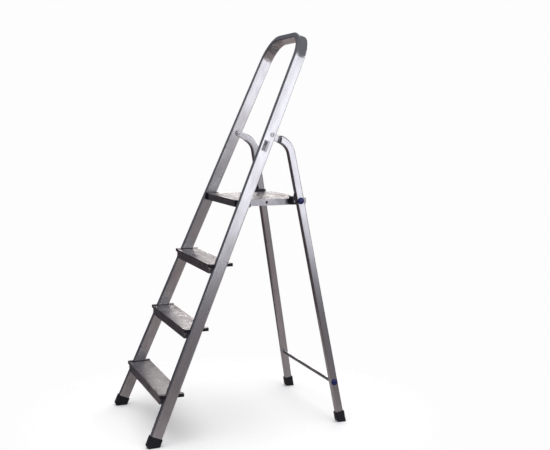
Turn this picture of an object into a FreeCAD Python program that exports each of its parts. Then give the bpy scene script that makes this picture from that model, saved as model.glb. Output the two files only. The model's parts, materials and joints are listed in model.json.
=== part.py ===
"""Platform step ladder: an A-frame with three treads, a folding platform and a hand-rail hoop.

Frame: +Z up, -Y the climbing side, +X the climber's right. The origin is on the floor,
midway between the centre lines of the front stiles and of the rear legs.
"""
import FreeCAD
import Part
import Sketcher
import math
import os

V = FreeCAD.Vector
RIGHT = 1
LEFT = -1
SIDES = ((RIGHT, "right"), (LEFT, "left"))

# ---------------------------------------------------------------- driving dimensions
DIMENSIONS = (
    ("stile_depth", 40.0, "stile tube, front to back"),
    ("stile_width", 20.0, "stile tube, side to side"),
    ("stile_wall", 1.5, "stile tube wall"),
    ("stile_corner", 3.0, "stile tube outer corner radius"),
    ("front_lean", 23.5, "stiles from the vertical, degrees"),
    ("front_splay", 3.55, "each stile from the ladder's middle plane, degrees"),
    ("floor_half_width", 257.5, "outer face of a stile at the floor"),
    ("hoop_length", 1519.0, "floor to the top of the hoop, measured along the stiles"),
    ("bend_radius", 92.0, "hoop bend, centre line"),
    ("stile_lift", 15.0, "end of the stile tube above the floor, along the tube"),
    ("first_rise", 169.0, "floor to the top of the lowest tread"),
    ("tread_rise", 215.0, "tread to tread"),
    ("tread_depth", 82.0, "tread, front to back"),
    ("tread_height", 32.0, "front wall of the tread, top to bottom edge"),
    ("tread_wall", 2.0, "tread walls"),
    ("tread_skin", 2.6, "tread top, ribs included"),
    ("tread_flange", 13.0, "inward flange along the bottom of the tread's front wall"),
    ("tread_rear", 9.0, "rear wall of the tread, top to bottom edge"),
    ("rib_pitch", 4.0, "ribs of treads and platform"),
    ("rib_gap", 1.8, "groove between two ribs"),
    ("rib_height", 0.8, "ribs above the grooves"),
    ("spigot_radius", 7.5, "tubes that join a tread to the stiles"),
    ("spigot_wall", 2.0, "wall of those tubes"),
    ("spigot_sink", 0.5, "those tubes let into the tread's top"),
    ("spigot_place", 10.0, "tubes in front of and behind the stile's centre"),
    ("spigot_reach", 7.0, "how far the tubes pass the stile's inner face"),
    ("tread_gap", 0.8, "tread's end to the stile's inner face"),
    ("cap_plate", 3.0, "tread end cap, from its inner face to the stile"),
    ("cap_height", 9.5, "tread end cap, arms that hold the stile"),
    ("cap_lip", 1.6, "tread end cap above the tread"),
    ("cap_wrap", 15.5, "tread end cap, arms past the stile's inner face"),
    ("cap_margin", 1.0, "tread end cap beyond the tread, front and back"),
    ("cap_corner", 3.0, "rounded corners of the tread end cap"),
    ("platform_height", 812.0, "floor to the top of the platform"),
    ("platform_half_width", 162.5, "outer faces of the platform's side bars"),
    ("platform_front", 22.0, "front face of the platform before the stile's centre line"),
    ("platform_overhang", 36.0, "platform behind its axle"),
    ("nose_depth", 47.0, "platform nose, front to back"),
    ("nose_height", 24.6, "platform nose, top to bottom edge"),
    ("nose_half_width", 148.0, "aluminium part of the platform nose"),
    ("nose_wall", 3.0, "front wall of the platform nose"),
    ("nose_rear_drop", 8.0, "turned-down rear edge of the nose, below its top plate"),
    ("corner_round", 1.2, "rounded front edges of the platform's plastic corners"),
    ("deck_skin", 2.6, "platform deck, ribs included"),
    ("deck_rear_drop", 18.0, "turned-down rear edge of the deck"),
    ("deck_web", 2.0, "stiffeners and turned-down edges, thickness"),
    ("stiffener_height", 9.0, "stiffeners under the deck"),
    ("side_bar_height", 23.0, "platform side bar"),
    ("side_bar_wall", 3.0, "platform side bar thickness"),
    ("side_bar_start", 49.0, "platform front to the side bars"),
    ("side_bar_round", 4.0, "rounded lower corners of the side bars"),
    ("bar_rivet_radius", 2.4, "rivet in a side bar"),
    ("bar_rivet_head", 4.8, "that rivet's head, radius"),
    ("bar_rivet_tail", 3.8, "that rivet's upset end, radius"),
    ("bar_rivet_rim", 1.2, "that rivet's head and upset end, thickness"),
    ("bar_rivet_place", 115.0, "platform front to that rivet"),
    ("support_depth", 30.0, "fixed crossbar under the platform nose"),
    ("support_height", 20.0, "fixed crossbar height"),
    ("support_wall", 1.5, "fixed crossbar wall"),
    ("support_grip", 8.0, "fixed crossbar inside its end caps"),
    ("support_wrap", 2.0, "fixed crossbar's end caps past the stile's inner face"),
    ("support_corner", 2.0, "rounded corners of those end caps"),
    ("pivot_along", 1134.0, "floor to the leg pivot, along the stile"),
    ("pivot_back", 7.5, "leg pivot behind the stile's centre line"),
    ("rivet_radius", 4.0, "pivot rivet shank"),
    ("rivet_head", 8.0, "pivot rivet head radius"),
    ("rivet_hollow", 2.6, "hollow of the pivot rivet"),
    ("rivet_rim", 1.6, "pivot rivet heads and washers, thickness"),
    ("rivet_flare", 7.0, "flared inner end of the pivot rivet, radius"),
    ("rivet_round", 0.6, "rounded edge of the pivot rivet's head"),
    ("washer_gap", 0.2, "washer to the tongue"),
    ("washer_radius", 9.5, "washer on the rear leg's tongue"),
    ("leg_depth", 28.0, "rear leg tube, front to back"),
    ("leg_width", 21.0, "rear leg tube, side to side"),
    ("leg_wall", 1.5, "rear leg tube wall"),
    ("leg_corner", 5.0, "rear leg tube outer corner radius"),
    ("rear_lean", 10.0, "rear legs from the vertical, degrees"),
    ("rear_splay", 3.6, "each rear leg from the middle plane, degrees"),
    ("leg_offset", 60.0, "rear leg's centre line behind its pivot"),
    ("leg_turn", 53.0, "bend at the top of the rear leg, degrees"),
    ("leg_bend_radius", 66.0, "rear leg bend, centre line"),
    ("leg_lift", 9.0, "end of the rear leg tube above the floor, along the tube"),
    ("tongue_wall", 3.0, "flattened end of the rear leg"),
    ("tongue_tip", 11.0, "round tip of the flattened end"),
    ("tongue_neck", 8.0, "flattened end, half its width inside the round tip"),
    ("tongue_step", 9.0, "length over which the tube is pressed flat"),
    ("tongue_draft", 1.0, "narrowing of each edge over that length"),
    ("axle_drop", 9.5, "platform axle below the platform's top"),
    ("axle_radius", 6.0, "platform axle"),
    ("axle_inset", 1.0, "ends of axle and brace inside the legs' outer faces"),
    ("brace_height", 145.0, "rear brace above the floor"),
    ("brace_radius", 7.0, "rear brace tube"),
    ("brace_wall", 1.5, "rear brace tube wall"),
    ("dome_radius", 12.0, "round caps on the rear legs"),
    ("dome_height", 4.5, "round caps on the rear legs"),
    ("dome_round", 2.5, "rounded edge of those caps"),
    ("shoe_wall", 2.6, "side walls of the shoes"),
    ("front_shoe_height", 35.0, "front shoe, along the stile"),
    ("rear_shoe_height", 37.0, "rear shoe, along the leg"),
    ("shoe_round", 9.0, "rounded edge of the shoes at the floor"),
    ("block_height", 29.0, "hinge block, top to bottom"),
    ("block_rise", 9.0, "hinge block above the platform's top"),
    ("block_front", 18.0, "hinge block in front of the rear leg"),
    ("block_wing", 16.0, "hinge block across the front of the rear leg"),
    ("block_cover", 0.7, "hinge block behind its axle, in halves of the leg's depth"),
    ("block_corner", 3.0, "rounded corners of the hinge block"),
    ("block_fin", 18.0, "upstand of the hinge block above its top"),
    ("fin_wall", 5.0, "upstand of the hinge block, front to back"),
    ("screw_radius", 3.0, "head of the hinge block's screw"),
    ("screw_head", 1.8, "head of that screw, thickness"),
    ("screw_length", 9.0, "shank of that screw"),
    ("screw_sunk", 8.0, "shank of that screw inside the block"),
    ("screw_drop", 8.7, "that screw below the platform's top"),
    ("label_length", 40.0, "blank label along the stile"),
    ("label_width", 21.0, "blank label across the stile"),
    ("label_place", 1089.5, "floor to the label's middle, along the stile"),
    ("label_shift", 3.0, "label's middle in front of the stile's centre line"),
    ("label_thickness", 0.3, "blank label"),
    ("running_gap", 0.06, "radial clearance of pivots"),
    ("side_gap", 0.5, "sideways clearance between moving parts"),
    ("rest_gap", 0.3, "gap where the platform rests on its crossbar"),
    ("tongue_gap", 1.0, "rear leg tongue to the stile's inner face"),
    ("fit_gap", 0.1, "clearance of fixed pieces round the tubes"),
)

# Stiffeners under the deck, as shares of its length from the axle forward.
STIFFENER_SHARES = (0.22, 0.48, 0.74)
# A run long enough to bore through a leg, a bar or a block, whichever the tool is centred on.
THROUGH = "3 * Sizes.leg_width"
# Lengths below this count as none where edges are picked.
NEAR = 0.01
# How often an unsound shape is worked out again.
RETRIES = 4

doc = FreeCAD.newDocument("PlatformStepLadder")


def make_sheet(name, rows):
    """Spreadsheet with a note and an aliased plain number in each row."""
    table = doc.addObject("Spreadsheet::Sheet", name)
    for row, (alias, value, note) in enumerate(rows, start=1):
        table.set("A%d" % row, note)
        table.set("B%d" % row, "%.6f" % value)
        table.setAlias("B%d" % row, alias)
    doc.recompute()
    return table


sizes = make_sheet("Sizes", DIMENSIONS)


def size(alias):
    """One driving dimension as a number."""
    return float(getattr(sizes, alias))


def tangent(alias):
    return math.tan(math.radians(size(alias)))


def cosine(alias):
    return math.cos(math.radians(size(alias)))


# ---------------------------------------------------------------- places that follow
def stile_frame(side):
    """Floor end of a stile's centre line: local z up the stile, y to the rear, x outwards."""
    lean = FreeCAD.Rotation(V(1, 0, 0), -size("front_lean"))
    splay = FreeCAD.Rotation(V(0, 1, 0), -side * size("front_splay"))
    middle = size("floor_half_width") - 0.5 * size("stile_width") / cosine("front_splay")
    return FreeCAD.Placement(V(side * middle, FRONT_LINE, 0), lean.multiply(splay))


def inner_half_width(height):
    """Half the clear width between the stiles at a height above the floor."""
    outer = size("floor_half_width") - height / cosine("front_lean") * tangent("front_splay")
    return outer - size("stile_width") / cosine("front_splay")


def stile_line(height):
    """Y of the stiles' centre line at a height above the floor."""
    return FRONT_LINE + height * tangent("front_lean")


def pivot_from_front():
    """Pivot behind the stiles' floor line, and above the floor."""
    lean = math.radians(size("front_lean"))
    along = size("pivot_along")
    back = size("pivot_back")
    return (along * math.sin(lean) + back * math.cos(lean), along * math.cos(lean) - back * math.sin(lean))


PIVOT_REACH, PIVOT_HEIGHT = pivot_from_front()
STANCE = PIVOT_REACH + PIVOT_HEIGHT * tangent("rear_lean") + size("leg_offset") / cosine("rear_lean")
FRONT_LINE = -0.5 * STANCE
PIVOT_Y = FRONT_LINE + PIVOT_REACH
PIVOT_HALF_WIDTH = inner_half_width(PIVOT_HEIGHT) - size("tongue_gap")


def leg_frame(side):
    """Pivot end of a rear leg: local z up the leg, y to the rear, x outwards from the tongue's face."""
    lean = FreeCAD.Rotation(V(1, 0, 0), size("rear_lean"))
    splay = FreeCAD.Rotation(V(0, 1, 0), -side * size("rear_splay"))
    return FreeCAD.Placement(V(side * PIVOT_HALF_WIDTH, PIVOT_Y, PIVOT_HEIGHT), lean.multiply(splay))


def below_pivot(height):
    """Local z, on a rear leg's centre line, of the point at a height above the floor."""
    rise = size("leg_offset") * math.sin(math.radians(size("rear_lean")))
    return (height - PIVOT_HEIGHT - rise) / (cosine("rear_lean") * cosine("rear_splay"))


def leg_middle():
    """Local x of the rear leg tube's centre line."""
    return 0.5 * size("leg_width") - size("tongue_wall")


def leg_face(height, share):
    """Distance from the middle plane to a rear leg's inner face, share 0, or outer face, share 1."""
    across = share * size("leg_width") - size("tongue_wall")
    return leg_frame(RIGHT).multVec(V(across, size("leg_offset"), below_pivot(height))).x


AXLE_HEIGHT = size("platform_height") - size("axle_drop")
AXLE_Y = leg_frame(RIGHT).multVec(V(leg_middle(), size("leg_offset"), below_pivot(AXLE_HEIGHT))).y
BRACE_Y = leg_frame(RIGHT).multVec(V(leg_middle(), size("leg_offset"), below_pivot(size("brace_height")))).y
PLATFORM_FRONT = stile_line(size("platform_height")) - size("platform_front")
BEND_TANGENT = size("leg_bend_radius") * math.tan(math.radians(0.5 * size("leg_turn")))
TURN = math.radians(size("leg_turn"))

places = make_sheet("Places", (
    ("platform_reach", AXLE_Y - PLATFORM_FRONT, "platform front to its axle"),
    ("leg_bend_start", size("leg_offset") / math.tan(TURN) + BEND_TANGENT, "pivot down to the bend"),
    ("tongue_length", size("leg_offset") / math.sin(TURN) - BEND_TANGENT, "pivot to the end of the bend"),
    ("leg_end", -below_pivot(size("leg_lift")), "pivot down to the end of the leg tube"),
    ("hoop_turn", 90.0 - size("front_splay"), "turn of each hoop bend"),
    ("support_half_width", inner_half_width(size("platform_height")), "clear half width at the platform"),
    ("leg_clear_width", leg_face(AXLE_HEIGHT, 0.0), "inner faces of the rear legs at the axle"),
    ("axle_half_length", leg_face(AXLE_HEIGHT, 1.0) - size("axle_inset"), "half the axle"),
    ("brace_half_length", leg_face(size("brace_height"), 1.0) - size("axle_inset"), "half the brace"),
))


def place(alias):
    return float(getattr(places, alias))


# ---------------------------------------------------------------- drawing helpers
def bound(thing, expressions):
    """Bind properties of a feature to expressions of the sheets."""
    for name, text in expressions.items():
        thing.setExpression(name, text)
    return thing


def block(name, low, span):
    """Box from its low corner and its three lengths, all expressions."""
    box = doc.addObject("Part::Box", name)
    bound(box, dict(zip(("Length", "Width", "Height"), span)))
    return bound(box, dict(zip(("Placement.Base.x", "Placement.Base.y", "Placement.Base.z"), low)))


def framed_block(name, frame, low, span):
    """Box in a turned frame: its low corner in numbers, its three lengths as expressions."""
    box = doc.addObject("Part::Box", name)
    bound(box, dict(zip(("Length", "Width", "Height"), span)))
    box.Placement = frame.multiply(FreeCAD.Placement(V(*low), FreeCAD.Rotation()))
    return box


def side_block(name, side, across, low, span):
    """Box between two distances from the middle plane, on one side of it."""
    near, far = across
    start = near if side == RIGHT else "-(%s)" % far
    return block(name, (start, low[0], low[1]), ("(%s) - (%s)" % (far, near), span[0], span[1]))


def rod(name, radius, length, middle, axis=V(1, 0, 0)):
    """Cylinder with expressions for radius and length, centred on a point, along an axis."""
    cylinder = doc.addObject("Part::Cylinder", name)
    bound(cylinder, {"Radius": radius, "Height": length})
    doc.recompute()
    turn = FreeCAD.Rotation(V(0, 0, 1), axis)
    start = V(*middle) - axis * (0.5 * cylinder.Height.Value / axis.Length)
    cylinder.Placement = FreeCAD.Placement(start, turn)
    return cylinder


def joined(name, shapes):
    result = doc.addObject("Part::MultiFuse", name)
    result.Shapes = shapes
    return result


def cut(name, base, tools):
    """Base less all the tools."""
    result = doc.addObject("Part::Cut", name)
    result.Base = base
    result.Tool = tools[0] if len(tools) == 1 else joined(name + "_tools", tools)
    return result


def common(name, base, tool):
    result = doc.addObject("Part::Common", name)
    result.Base = base
    result.Tool = tool
    return result


def rounded(name, base, radius, wanted):
    """Fillet on the edges that the wanted test picks."""
    doc.recompute()
    edges = [number for number, edge in enumerate(base.Shape.Edges, start=1) if wanted(edge)]
    result = doc.addObject("Part::Fillet", name)
    result.Base = base
    result.Edges = [(number, radius, radius) for number in edges]
    return result


def along(edge, direction):
    """True where an edge runs along a direction."""
    span = edge.Vertexes[-1].Point - edge.Vertexes[0].Point
    return span.Length > 1e-6 and abs(span.normalize().dot(direction)) > 0.999


def outer_circle(reach):
    """Test for the closed round edges that lie at a distance from the middle plane."""
    return lambda edge: edge.isClosed() and abs(edge.CenterOfMass.x) > reach - NEAR


def origin_feature(body, role):
    for feature in body.Origin.OriginFeatures:
        if feature.Role == role:
            return feature
    raise ValueError(role)


def sketch_on(body, name, role):
    sketch = body.newObject("Sketcher::SketchObject", name)
    sketch.AttachmentSupport = [(origin_feature(body, role), "")]
    sketch.MapMode = "FlatFace"
    return sketch


def pin(sketch, geometry, point, corner):
    """Bind one point of a sketch to two expressions."""
    for kind, text in zip(("DistanceX", "DistanceY"), corner):
        number = sketch.addConstraint(Sketcher.Constraint(kind, -1, 1, geometry, point, 1.0))
        sketch.setExpression("Constraints[%d]" % number, text)


def polygon(sketch, corners):
    """Closed outline of straight lines whose corners are pairs of expressions."""
    first = sketch.GeometryCount
    count = len(corners)
    turn = 2.0 * math.pi / count
    rough = [V(math.cos(turn * step), math.sin(turn * step), 0) for step in range(count)]
    for step in range(count):
        sketch.addGeometry(Part.LineSegment(rough[step], rough[(step + 1) % count]), False)
    for step in range(count):
        following = first + (step + 1) % count
        sketch.addConstraint(Sketcher.Constraint("Coincident", first + step, 2, following, 1))
    for step, corner in enumerate(corners):
        pin(sketch, first + step, 1, corner)
    return sketch


def rectangle(sketch, low, high):
    return polygon(sketch, (low, (high[0], low[1]), high, (low[0], high[1])))


def ring(sketch, centre, radii):
    """Circles about one bound centre, each radius an expression."""
    for radius in radii:
        number = sketch.addGeometry(Part.Circle(V(0, 0, 0), V(0, 0, 1), 1.0), False)
        pin(sketch, number, 3, centre)
        bounded = sketch.addConstraint(Sketcher.Constraint("Radius", number, 1.0))
        sketch.setExpression("Constraints[%d]" % bounded, radius)
    return sketch


def tube_section(sketch, centre, half, radius, numbers):
    """Rounded rectangle about a bound centre; numbers are its rough half lengths and radius."""
    half_x, half_y, round_off = numbers
    first = sketch.GeometryCount
    corners = ((1, 1, 0.0), (-1, 1, 90.0), (-1, -1, 180.0), (1, -1, 270.0))
    for sign_x, sign_y, start in corners:
        middle = V(sign_x * (half_x - round_off), sign_y * (half_y - round_off), 0)
        circle = Part.Circle(middle, V(0, 0, 1), round_off)
        low = math.radians(start)
        sketch.addGeometry(Part.ArcOfCircle(circle, low, low + 0.5 * math.pi), False)
    for step in range(4):
        end = sketch.getPoint(first + step, 2)
        start = sketch.getPoint(first + (step + 1) % 4, 1)
        sketch.addGeometry(Part.LineSegment(end, start), False)
    for step in range(4):
        line = first + 4 + step
        sketch.addConstraint(Sketcher.Constraint("Tangent", first + step, 2, line, 1))
        sketch.addConstraint(Sketcher.Constraint("Tangent", line, 2, first + (step + 1) % 4, 1))
        sketch.addConstraint(Sketcher.Constraint("Horizontal" if step % 2 == 0 else "Vertical", line))
    for step in range(1, 4):
        sketch.addConstraint(Sketcher.Constraint("Equal", first, first + step))
    fixed = sketch.addConstraint(Sketcher.Constraint("Radius", first, round_off))
    sketch.setExpression("Constraints[%d]" % fixed, radius)
    for kind, line, reach, place_text, sign in (
            ("DistanceY", first + 4, half[1], centre[1], "+"),
            ("DistanceX", first + 5, half[0], centre[0], "-"),
            ("DistanceY", first + 6, half[1], centre[1], "-"),
            ("DistanceX", first + 7, half[0], centre[0], "+")):
        number = sketch.addConstraint(Sketcher.Constraint(kind, -1, 1, line, 1, 1.0))
        sketch.setExpression("Constraints[%d]" % number, "(%s) %s (%s)" % (place_text, sign, reach))
    return sketch


def extruded(body, name, sketch, length):
    """Pad both ways from its sketch."""
    pad = body.newObject("PartDesign::Pad", name)
    pad.Profile = sketch
    pad.SideType = "Symmetric"
    pad.setExpression("Length", length)
    return pad


def pocketed(body, name, sketch):
    """Cut right through, both ways from its sketch."""
    pocket = body.newObject("PartDesign::Pocket", name)
    pocket.Profile = sketch
    pocket.Type = "ThroughAll"
    pocket.SideType = "Symmetric"
    return pocket


def grooved(body, name, sketch, axis, count, run):
    """Groove cut right through, repeated along an origin axis over a run."""
    pocket = pocketed(body, name, sketch)
    pattern = body.newObject("PartDesign::LinearPattern", name + "_row")
    pattern.Originals = [pocket]
    pattern.Direction = (origin_feature(body, axis), [""])
    bound(pattern, {"Length": run, "Occurrences": count})
    body.Tip = pattern


def new_body(name):
    return doc.addObject("PartDesign::Body", name)


nodes = {}


def node(name, thing, frame=None):
    """Keep a finished sub-part under its own label and place it."""
    thing.Label = name
    if frame is not None:
        thing.Placement = frame.multiply(thing.Placement)
    nodes[name] = thing
    return thing


def stile_room(name, side, low, high):
    """The space a stile takes, with a fixed piece's clearance round it, between two lengths up it."""
    half_x = 0.5 * size("stile_width") + size("fit_gap")
    half_y = 0.5 * size("stile_depth") + size("fit_gap")
    span = ("Sizes.stile_width + 2 * Sizes.fit_gap", "Sizes.stile_depth + 2 * Sizes.fit_gap",
            "%f" % (high - low))
    return framed_block(name, stile_frame(side), (-half_x, -half_y, low), span)


def leg_room(name, side, low, high):
    """The same round a rear leg; the lengths are down from its pivot."""
    left_x = -size("tongue_wall") if side == RIGHT else size("tongue_wall") - size("leg_width")
    low_x = left_x - size("fit_gap")
    low_y = size("leg_offset") - 0.5 * size("leg_depth") - size("fit_gap")
    span = ("Sizes.leg_width + 2 * Sizes.fit_gap", "Sizes.leg_depth + 2 * Sizes.fit_gap", "%f" % (high - low))
    return framed_block(name, leg_frame(side), (low_x, low_y, -high), span)


def above_floor(name):
    """A large block that stands on the floor, to cut soles level."""
    reach = 2.0 * (STANCE + size("floor_half_width"))
    box = doc.addObject("Part::Box", name)
    box.Length = box.Width = box.Height = reach
    box.Placement.Base = V(-0.5 * reach, -0.5 * reach, 0)
    return box


# ---------------------------------------------------------------- hoop: both stiles and the hand rail
def hoop_path(body, name):
    """Up one stile, round a bend, across the top, round the other bend and down."""
    splay = math.radians(size("front_splay"))
    radius = size("bend_radius")
    middle = size("floor_half_width") - 0.5 * size("stile_width") / math.cos(splay)
    top = size("hoop_length") - 0.5 * size("stile_width")
    start = size("stile_lift")
    tangent_length = radius * math.tan(math.radians(0.5 * place("hoop_turn")))
    corner = middle - top * math.tan(splay)
    foot = V(middle - start * math.tan(splay), start, 0)
    bend_low = V(corner + tangent_length * math.sin(splay), top - tangent_length * math.cos(splay), 0)
    bend_high = V(corner - tangent_length, top, 0)
    centre = bend_high - V(0, radius, 0)

    def mirrored(point):
        return V(-point.x, point.y, 0)

    sketch = sketch_on(body, name, "XY_Plane")
    sketch.addGeometry(Part.LineSegment(foot, bend_low), False)
    arc = Part.Circle(centre, V(0, 0, 1), radius)
    sketch.addGeometry(Part.ArcOfCircle(arc, splay, 0.5 * math.pi), False)
    sketch.addGeometry(Part.LineSegment(bend_high, mirrored(bend_high)), False)
    arc = Part.Circle(mirrored(centre), V(0, 0, 1), radius)
    sketch.addGeometry(Part.ArcOfCircle(arc, 0.5 * math.pi, math.pi - splay), False)
    sketch.addGeometry(Part.LineSegment(mirrored(bend_low), mirrored(foot)), False)
    for first, end, second, begin in ((0, 2, 1, 1), (1, 2, 2, 1), (2, 2, 3, 1), (3, 2, 4, 1)):
        sketch.addConstraint(Sketcher.Constraint("Tangent", first, end, second, begin))
    sketch.addConstraint(Sketcher.Constraint("Horizontal", 2))
    sketch.addConstraint(Sketcher.Constraint("Equal", 1, 3))
    sketch.addConstraint(Sketcher.Constraint("Symmetric", 0, 1, 4, 2, -2))
    bend = sketch.addConstraint(Sketcher.Constraint("Radius", 1, radius))
    sketch.setExpression("Constraints[%d]" % bend, "Sizes.bend_radius")
    lean = sketch.addConstraint(Sketcher.Constraint("Angle", 0, 0.5 * math.pi + splay))
    sketch.setExpression("Constraints[%d]" % lean, "(90 + Sizes.front_splay) * 1 deg")
    height = sketch.addConstraint(Sketcher.Constraint("DistanceY", -1, 1, 2, 1, top))
    sketch.setExpression("Constraints[%d]" % height, "Sizes.hoop_length - Sizes.stile_width / 2")
    across = ("Sizes.floor_half_width - Sizes.stile_width / (2 * cos(Sizes.front_splay))"
              " - Sizes.stile_lift * tan(Sizes.front_splay)")
    for kind, text, number in (("DistanceX", across, foot.x), ("DistanceY", "Sizes.stile_lift", foot.y)):
        fixed = sketch.addConstraint(Sketcher.Constraint(kind, -1, 1, 0, 1, number))
        sketch.setExpression("Constraints[%d]" % fixed, text)
    return sketch, foot


def hoop_sweep(name, inset):
    """The stile section, all round smaller by an inset in walls, swept along the hoop."""
    body = new_body(name)
    path, foot = hoop_path(body, name + "_path")
    section = sketch_on(body, name + "_section", "XZ_Plane")
    splay = FreeCAD.Rotation(V(0, 1, 0), size("front_splay"))
    section.AttachmentOffset = FreeCAD.Placement(V(foot.x, 0, -foot.y), splay)
    less = "%d * Sizes.stile_wall" % inset
    taken = inset * size("stile_wall")
    half = ("Sizes.stile_width / 2 - " + less, "Sizes.stile_depth / 2 - " + less)
    numbers = (0.5 * size("stile_width") - taken, 0.5 * size("stile_depth") - taken,
               size("stile_corner") - taken)
    tube_section(section, ("0", "0"), half, "Sizes.stile_corner - " + less, numbers)
    pipe = body.newObject("PartDesign::AdditivePipe", name + "_pipe")
    pipe.Profile = section
    pipe.Spine = path
    body.Tip = pipe
    return body


def spigot_rods(name, side, height, gap):
    """The two tread tubes of one side, as solid rods a clearance larger, through the inner wall only."""
    radius = "Sizes.spigot_radius + %s" % gap
    length = "2 * (Sizes.spigot_reach + Sizes.spigot_sink)"
    level = height - size("tread_skin") - size("spigot_radius") + size("spigot_sink")
    rods = []
    for label, offset in (("front", -size("spigot_place")), ("back", size("spigot_place"))):
        middle = (side * inner_half_width(height), stile_line(height) + offset, level)
        rods.append(rod("%s_%s" % (name, label), radius, length, middle))
    return rods


TREAD_HEIGHTS = [size("first_rise") + step * size("tread_rise") for step in range(3)]


def make_hoop():
    shell = cut("hoop_shell", hoop_sweep("hoop_outside", 0), [hoop_sweep("hoop_inside", 1)])
    lean = FreeCAD.Rotation(V(1, 0, 0), 90.0 - size("front_lean"))
    shell.Placement = FreeCAD.Placement(V(0, FRONT_LINE, 0), lean)
    holes = []
    for side, word in SIDES:
        for number, height in enumerate(TREAD_HEIGHTS, start=1):
            holes += spigot_rods("hoop_hole_%d_%s" % (number, word), side, height, "Sizes.fit_gap")
        middle = (side * (PIVOT_HALF_WIDTH + 0.5 * size("stile_width")), PIVOT_Y, PIVOT_HEIGHT)
        holes.append(rod("hoop_pivot_hole_" + word, "Sizes.rivet_radius", "3 * Sizes.stile_width", middle))
    node("front_hoop", cut("hoop", shell, holes))


# ---------------------------------------------------------------- treads and their end caps
def make_tread(number, height):
    """Ribbed aluminium extrusion, deep in front, on two tubes that pass into the stiles.

    Its ends are cut away at the top, where the end caps sit.
    """
    name = "tread_%d" % number
    reach = inner_half_width(height)
    body = new_body(name + "_body")
    front, back = "-Sizes.tread_depth / 2", "Sizes.tread_depth / 2"
    wall, skin, bottom = "Sizes.tread_wall", "-Sizes.tread_skin", "-Sizes.tread_height"
    lip = "%s + %s" % (bottom, wall)
    corners = ((front, "0"), (back, "0"), (back, "-Sizes.tread_rear"),
               (back + " - " + wall, "-Sizes.tread_rear"), (back + " - " + wall, skin),
               (front + " + " + wall, skin), (front + " + " + wall, lip),
               (front + " + Sizes.tread_flange", lip), (front + " + Sizes.tread_flange", bottom),
               (front, bottom))
    shape = polygon(sketch_on(body, name + "_shape", "YZ_Plane"), corners)
    body.Tip = extruded(body, name + "_channel", shape, "2 * (%f - Sizes.tread_gap)" % reach)
    ends = sketch_on(body, name + "_ends", "XZ_Plane")
    near, far = "(%f - Sizes.cap_plate)" % reach, "%f" % reach
    rectangle(ends, (near, "-Sizes.cap_height"), (far, "Sizes.cap_lip"))
    rectangle(ends, ("-" + far, "-Sizes.cap_height"), ("-" + near, "Sizes.cap_lip"))
    body.Tip = pocketed(body, name + "_seats", ends)
    level = "-Sizes.tread_skin - Sizes.spigot_radius + Sizes.spigot_sink"
    for label, spot in (("front", "-Sizes.spigot_place"), ("back", "Sizes.spigot_place")):
        tube = ring(sketch_on(body, "%s_%s_ring" % (name, label), "YZ_Plane"), (spot, level),
                    ("Sizes.spigot_radius", "Sizes.spigot_radius - Sizes.spigot_wall"))
        body.Tip = extruded(body, "%s_%s_tube" % (name, label), tube, "2 * (%f + Sizes.spigot_reach)" % reach)
    low = (front + " + Sizes.rib_pitch", "-Sizes.rib_height")
    groove = rectangle(sketch_on(body, name + "_groove", "YZ_Plane"), low,
                       (low[0] + " + Sizes.rib_gap", "Sizes.rib_pitch"))
    grooved(body, name + "_grooves", groove, "Y_Axis",
            "floor(Sizes.tread_depth / Sizes.rib_pitch) - 1",
            "(floor(Sizes.tread_depth / Sizes.rib_pitch) - 2) * Sizes.rib_pitch")
    low = (front + " - Sizes.rib_pitch", bottom + " + Sizes.rib_pitch")
    groove = rectangle(sketch_on(body, name + "_front_groove", "YZ_Plane"), low,
                       (front + " + Sizes.rib_height", low[1] + " + Sizes.rib_gap"))
    grooved(body, name + "_front_grooves", groove, "Z_Axis",
            "floor(Sizes.tread_height / Sizes.rib_pitch) - 1",
            "(floor(Sizes.tread_height / Sizes.rib_pitch) - 2) * Sizes.rib_pitch")
    node(name, body, FreeCAD.Placement(V(0, stile_line(height), height), FreeCAD.Rotation()))


def make_tread_cap(number, height, side, word):
    """Plastic end cap: a bar on the tread's end, over its two tubes, whose arms hold the stile."""
    name = "tread_cap_%d_%s" % (number, word)
    reach = "%f" % inner_half_width(height)
    half = "Sizes.tread_depth / 2 + Sizes.cap_margin"
    across = (reach + " - Sizes.cap_plate", reach + " + Sizes.cap_wrap")
    bar = side_block(name + "_bar", side, across, ("-(%s)" % half, "-Sizes.cap_height"),
                     ("2 * (%s)" % half, "Sizes.cap_height + Sizes.cap_lip"))
    bar = rounded(name + "_round_bar", bar, size("cap_corner"), lambda edge: along(edge, V(0, 0, 1)))
    bar.Placement = FreeCAD.Placement(V(0, stile_line(height), height), FreeCAD.Rotation())
    up_stile = height / cosine("front_lean")
    tools = [stile_room(name + "_room", side, up_stile - size("tread_rise"), up_stile + size("tread_rise"))]
    tools += spigot_rods(name + "_hole", side, height, "Sizes.fit_gap")
    node(name, cut(name + "_cap", bar, tools))


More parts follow.
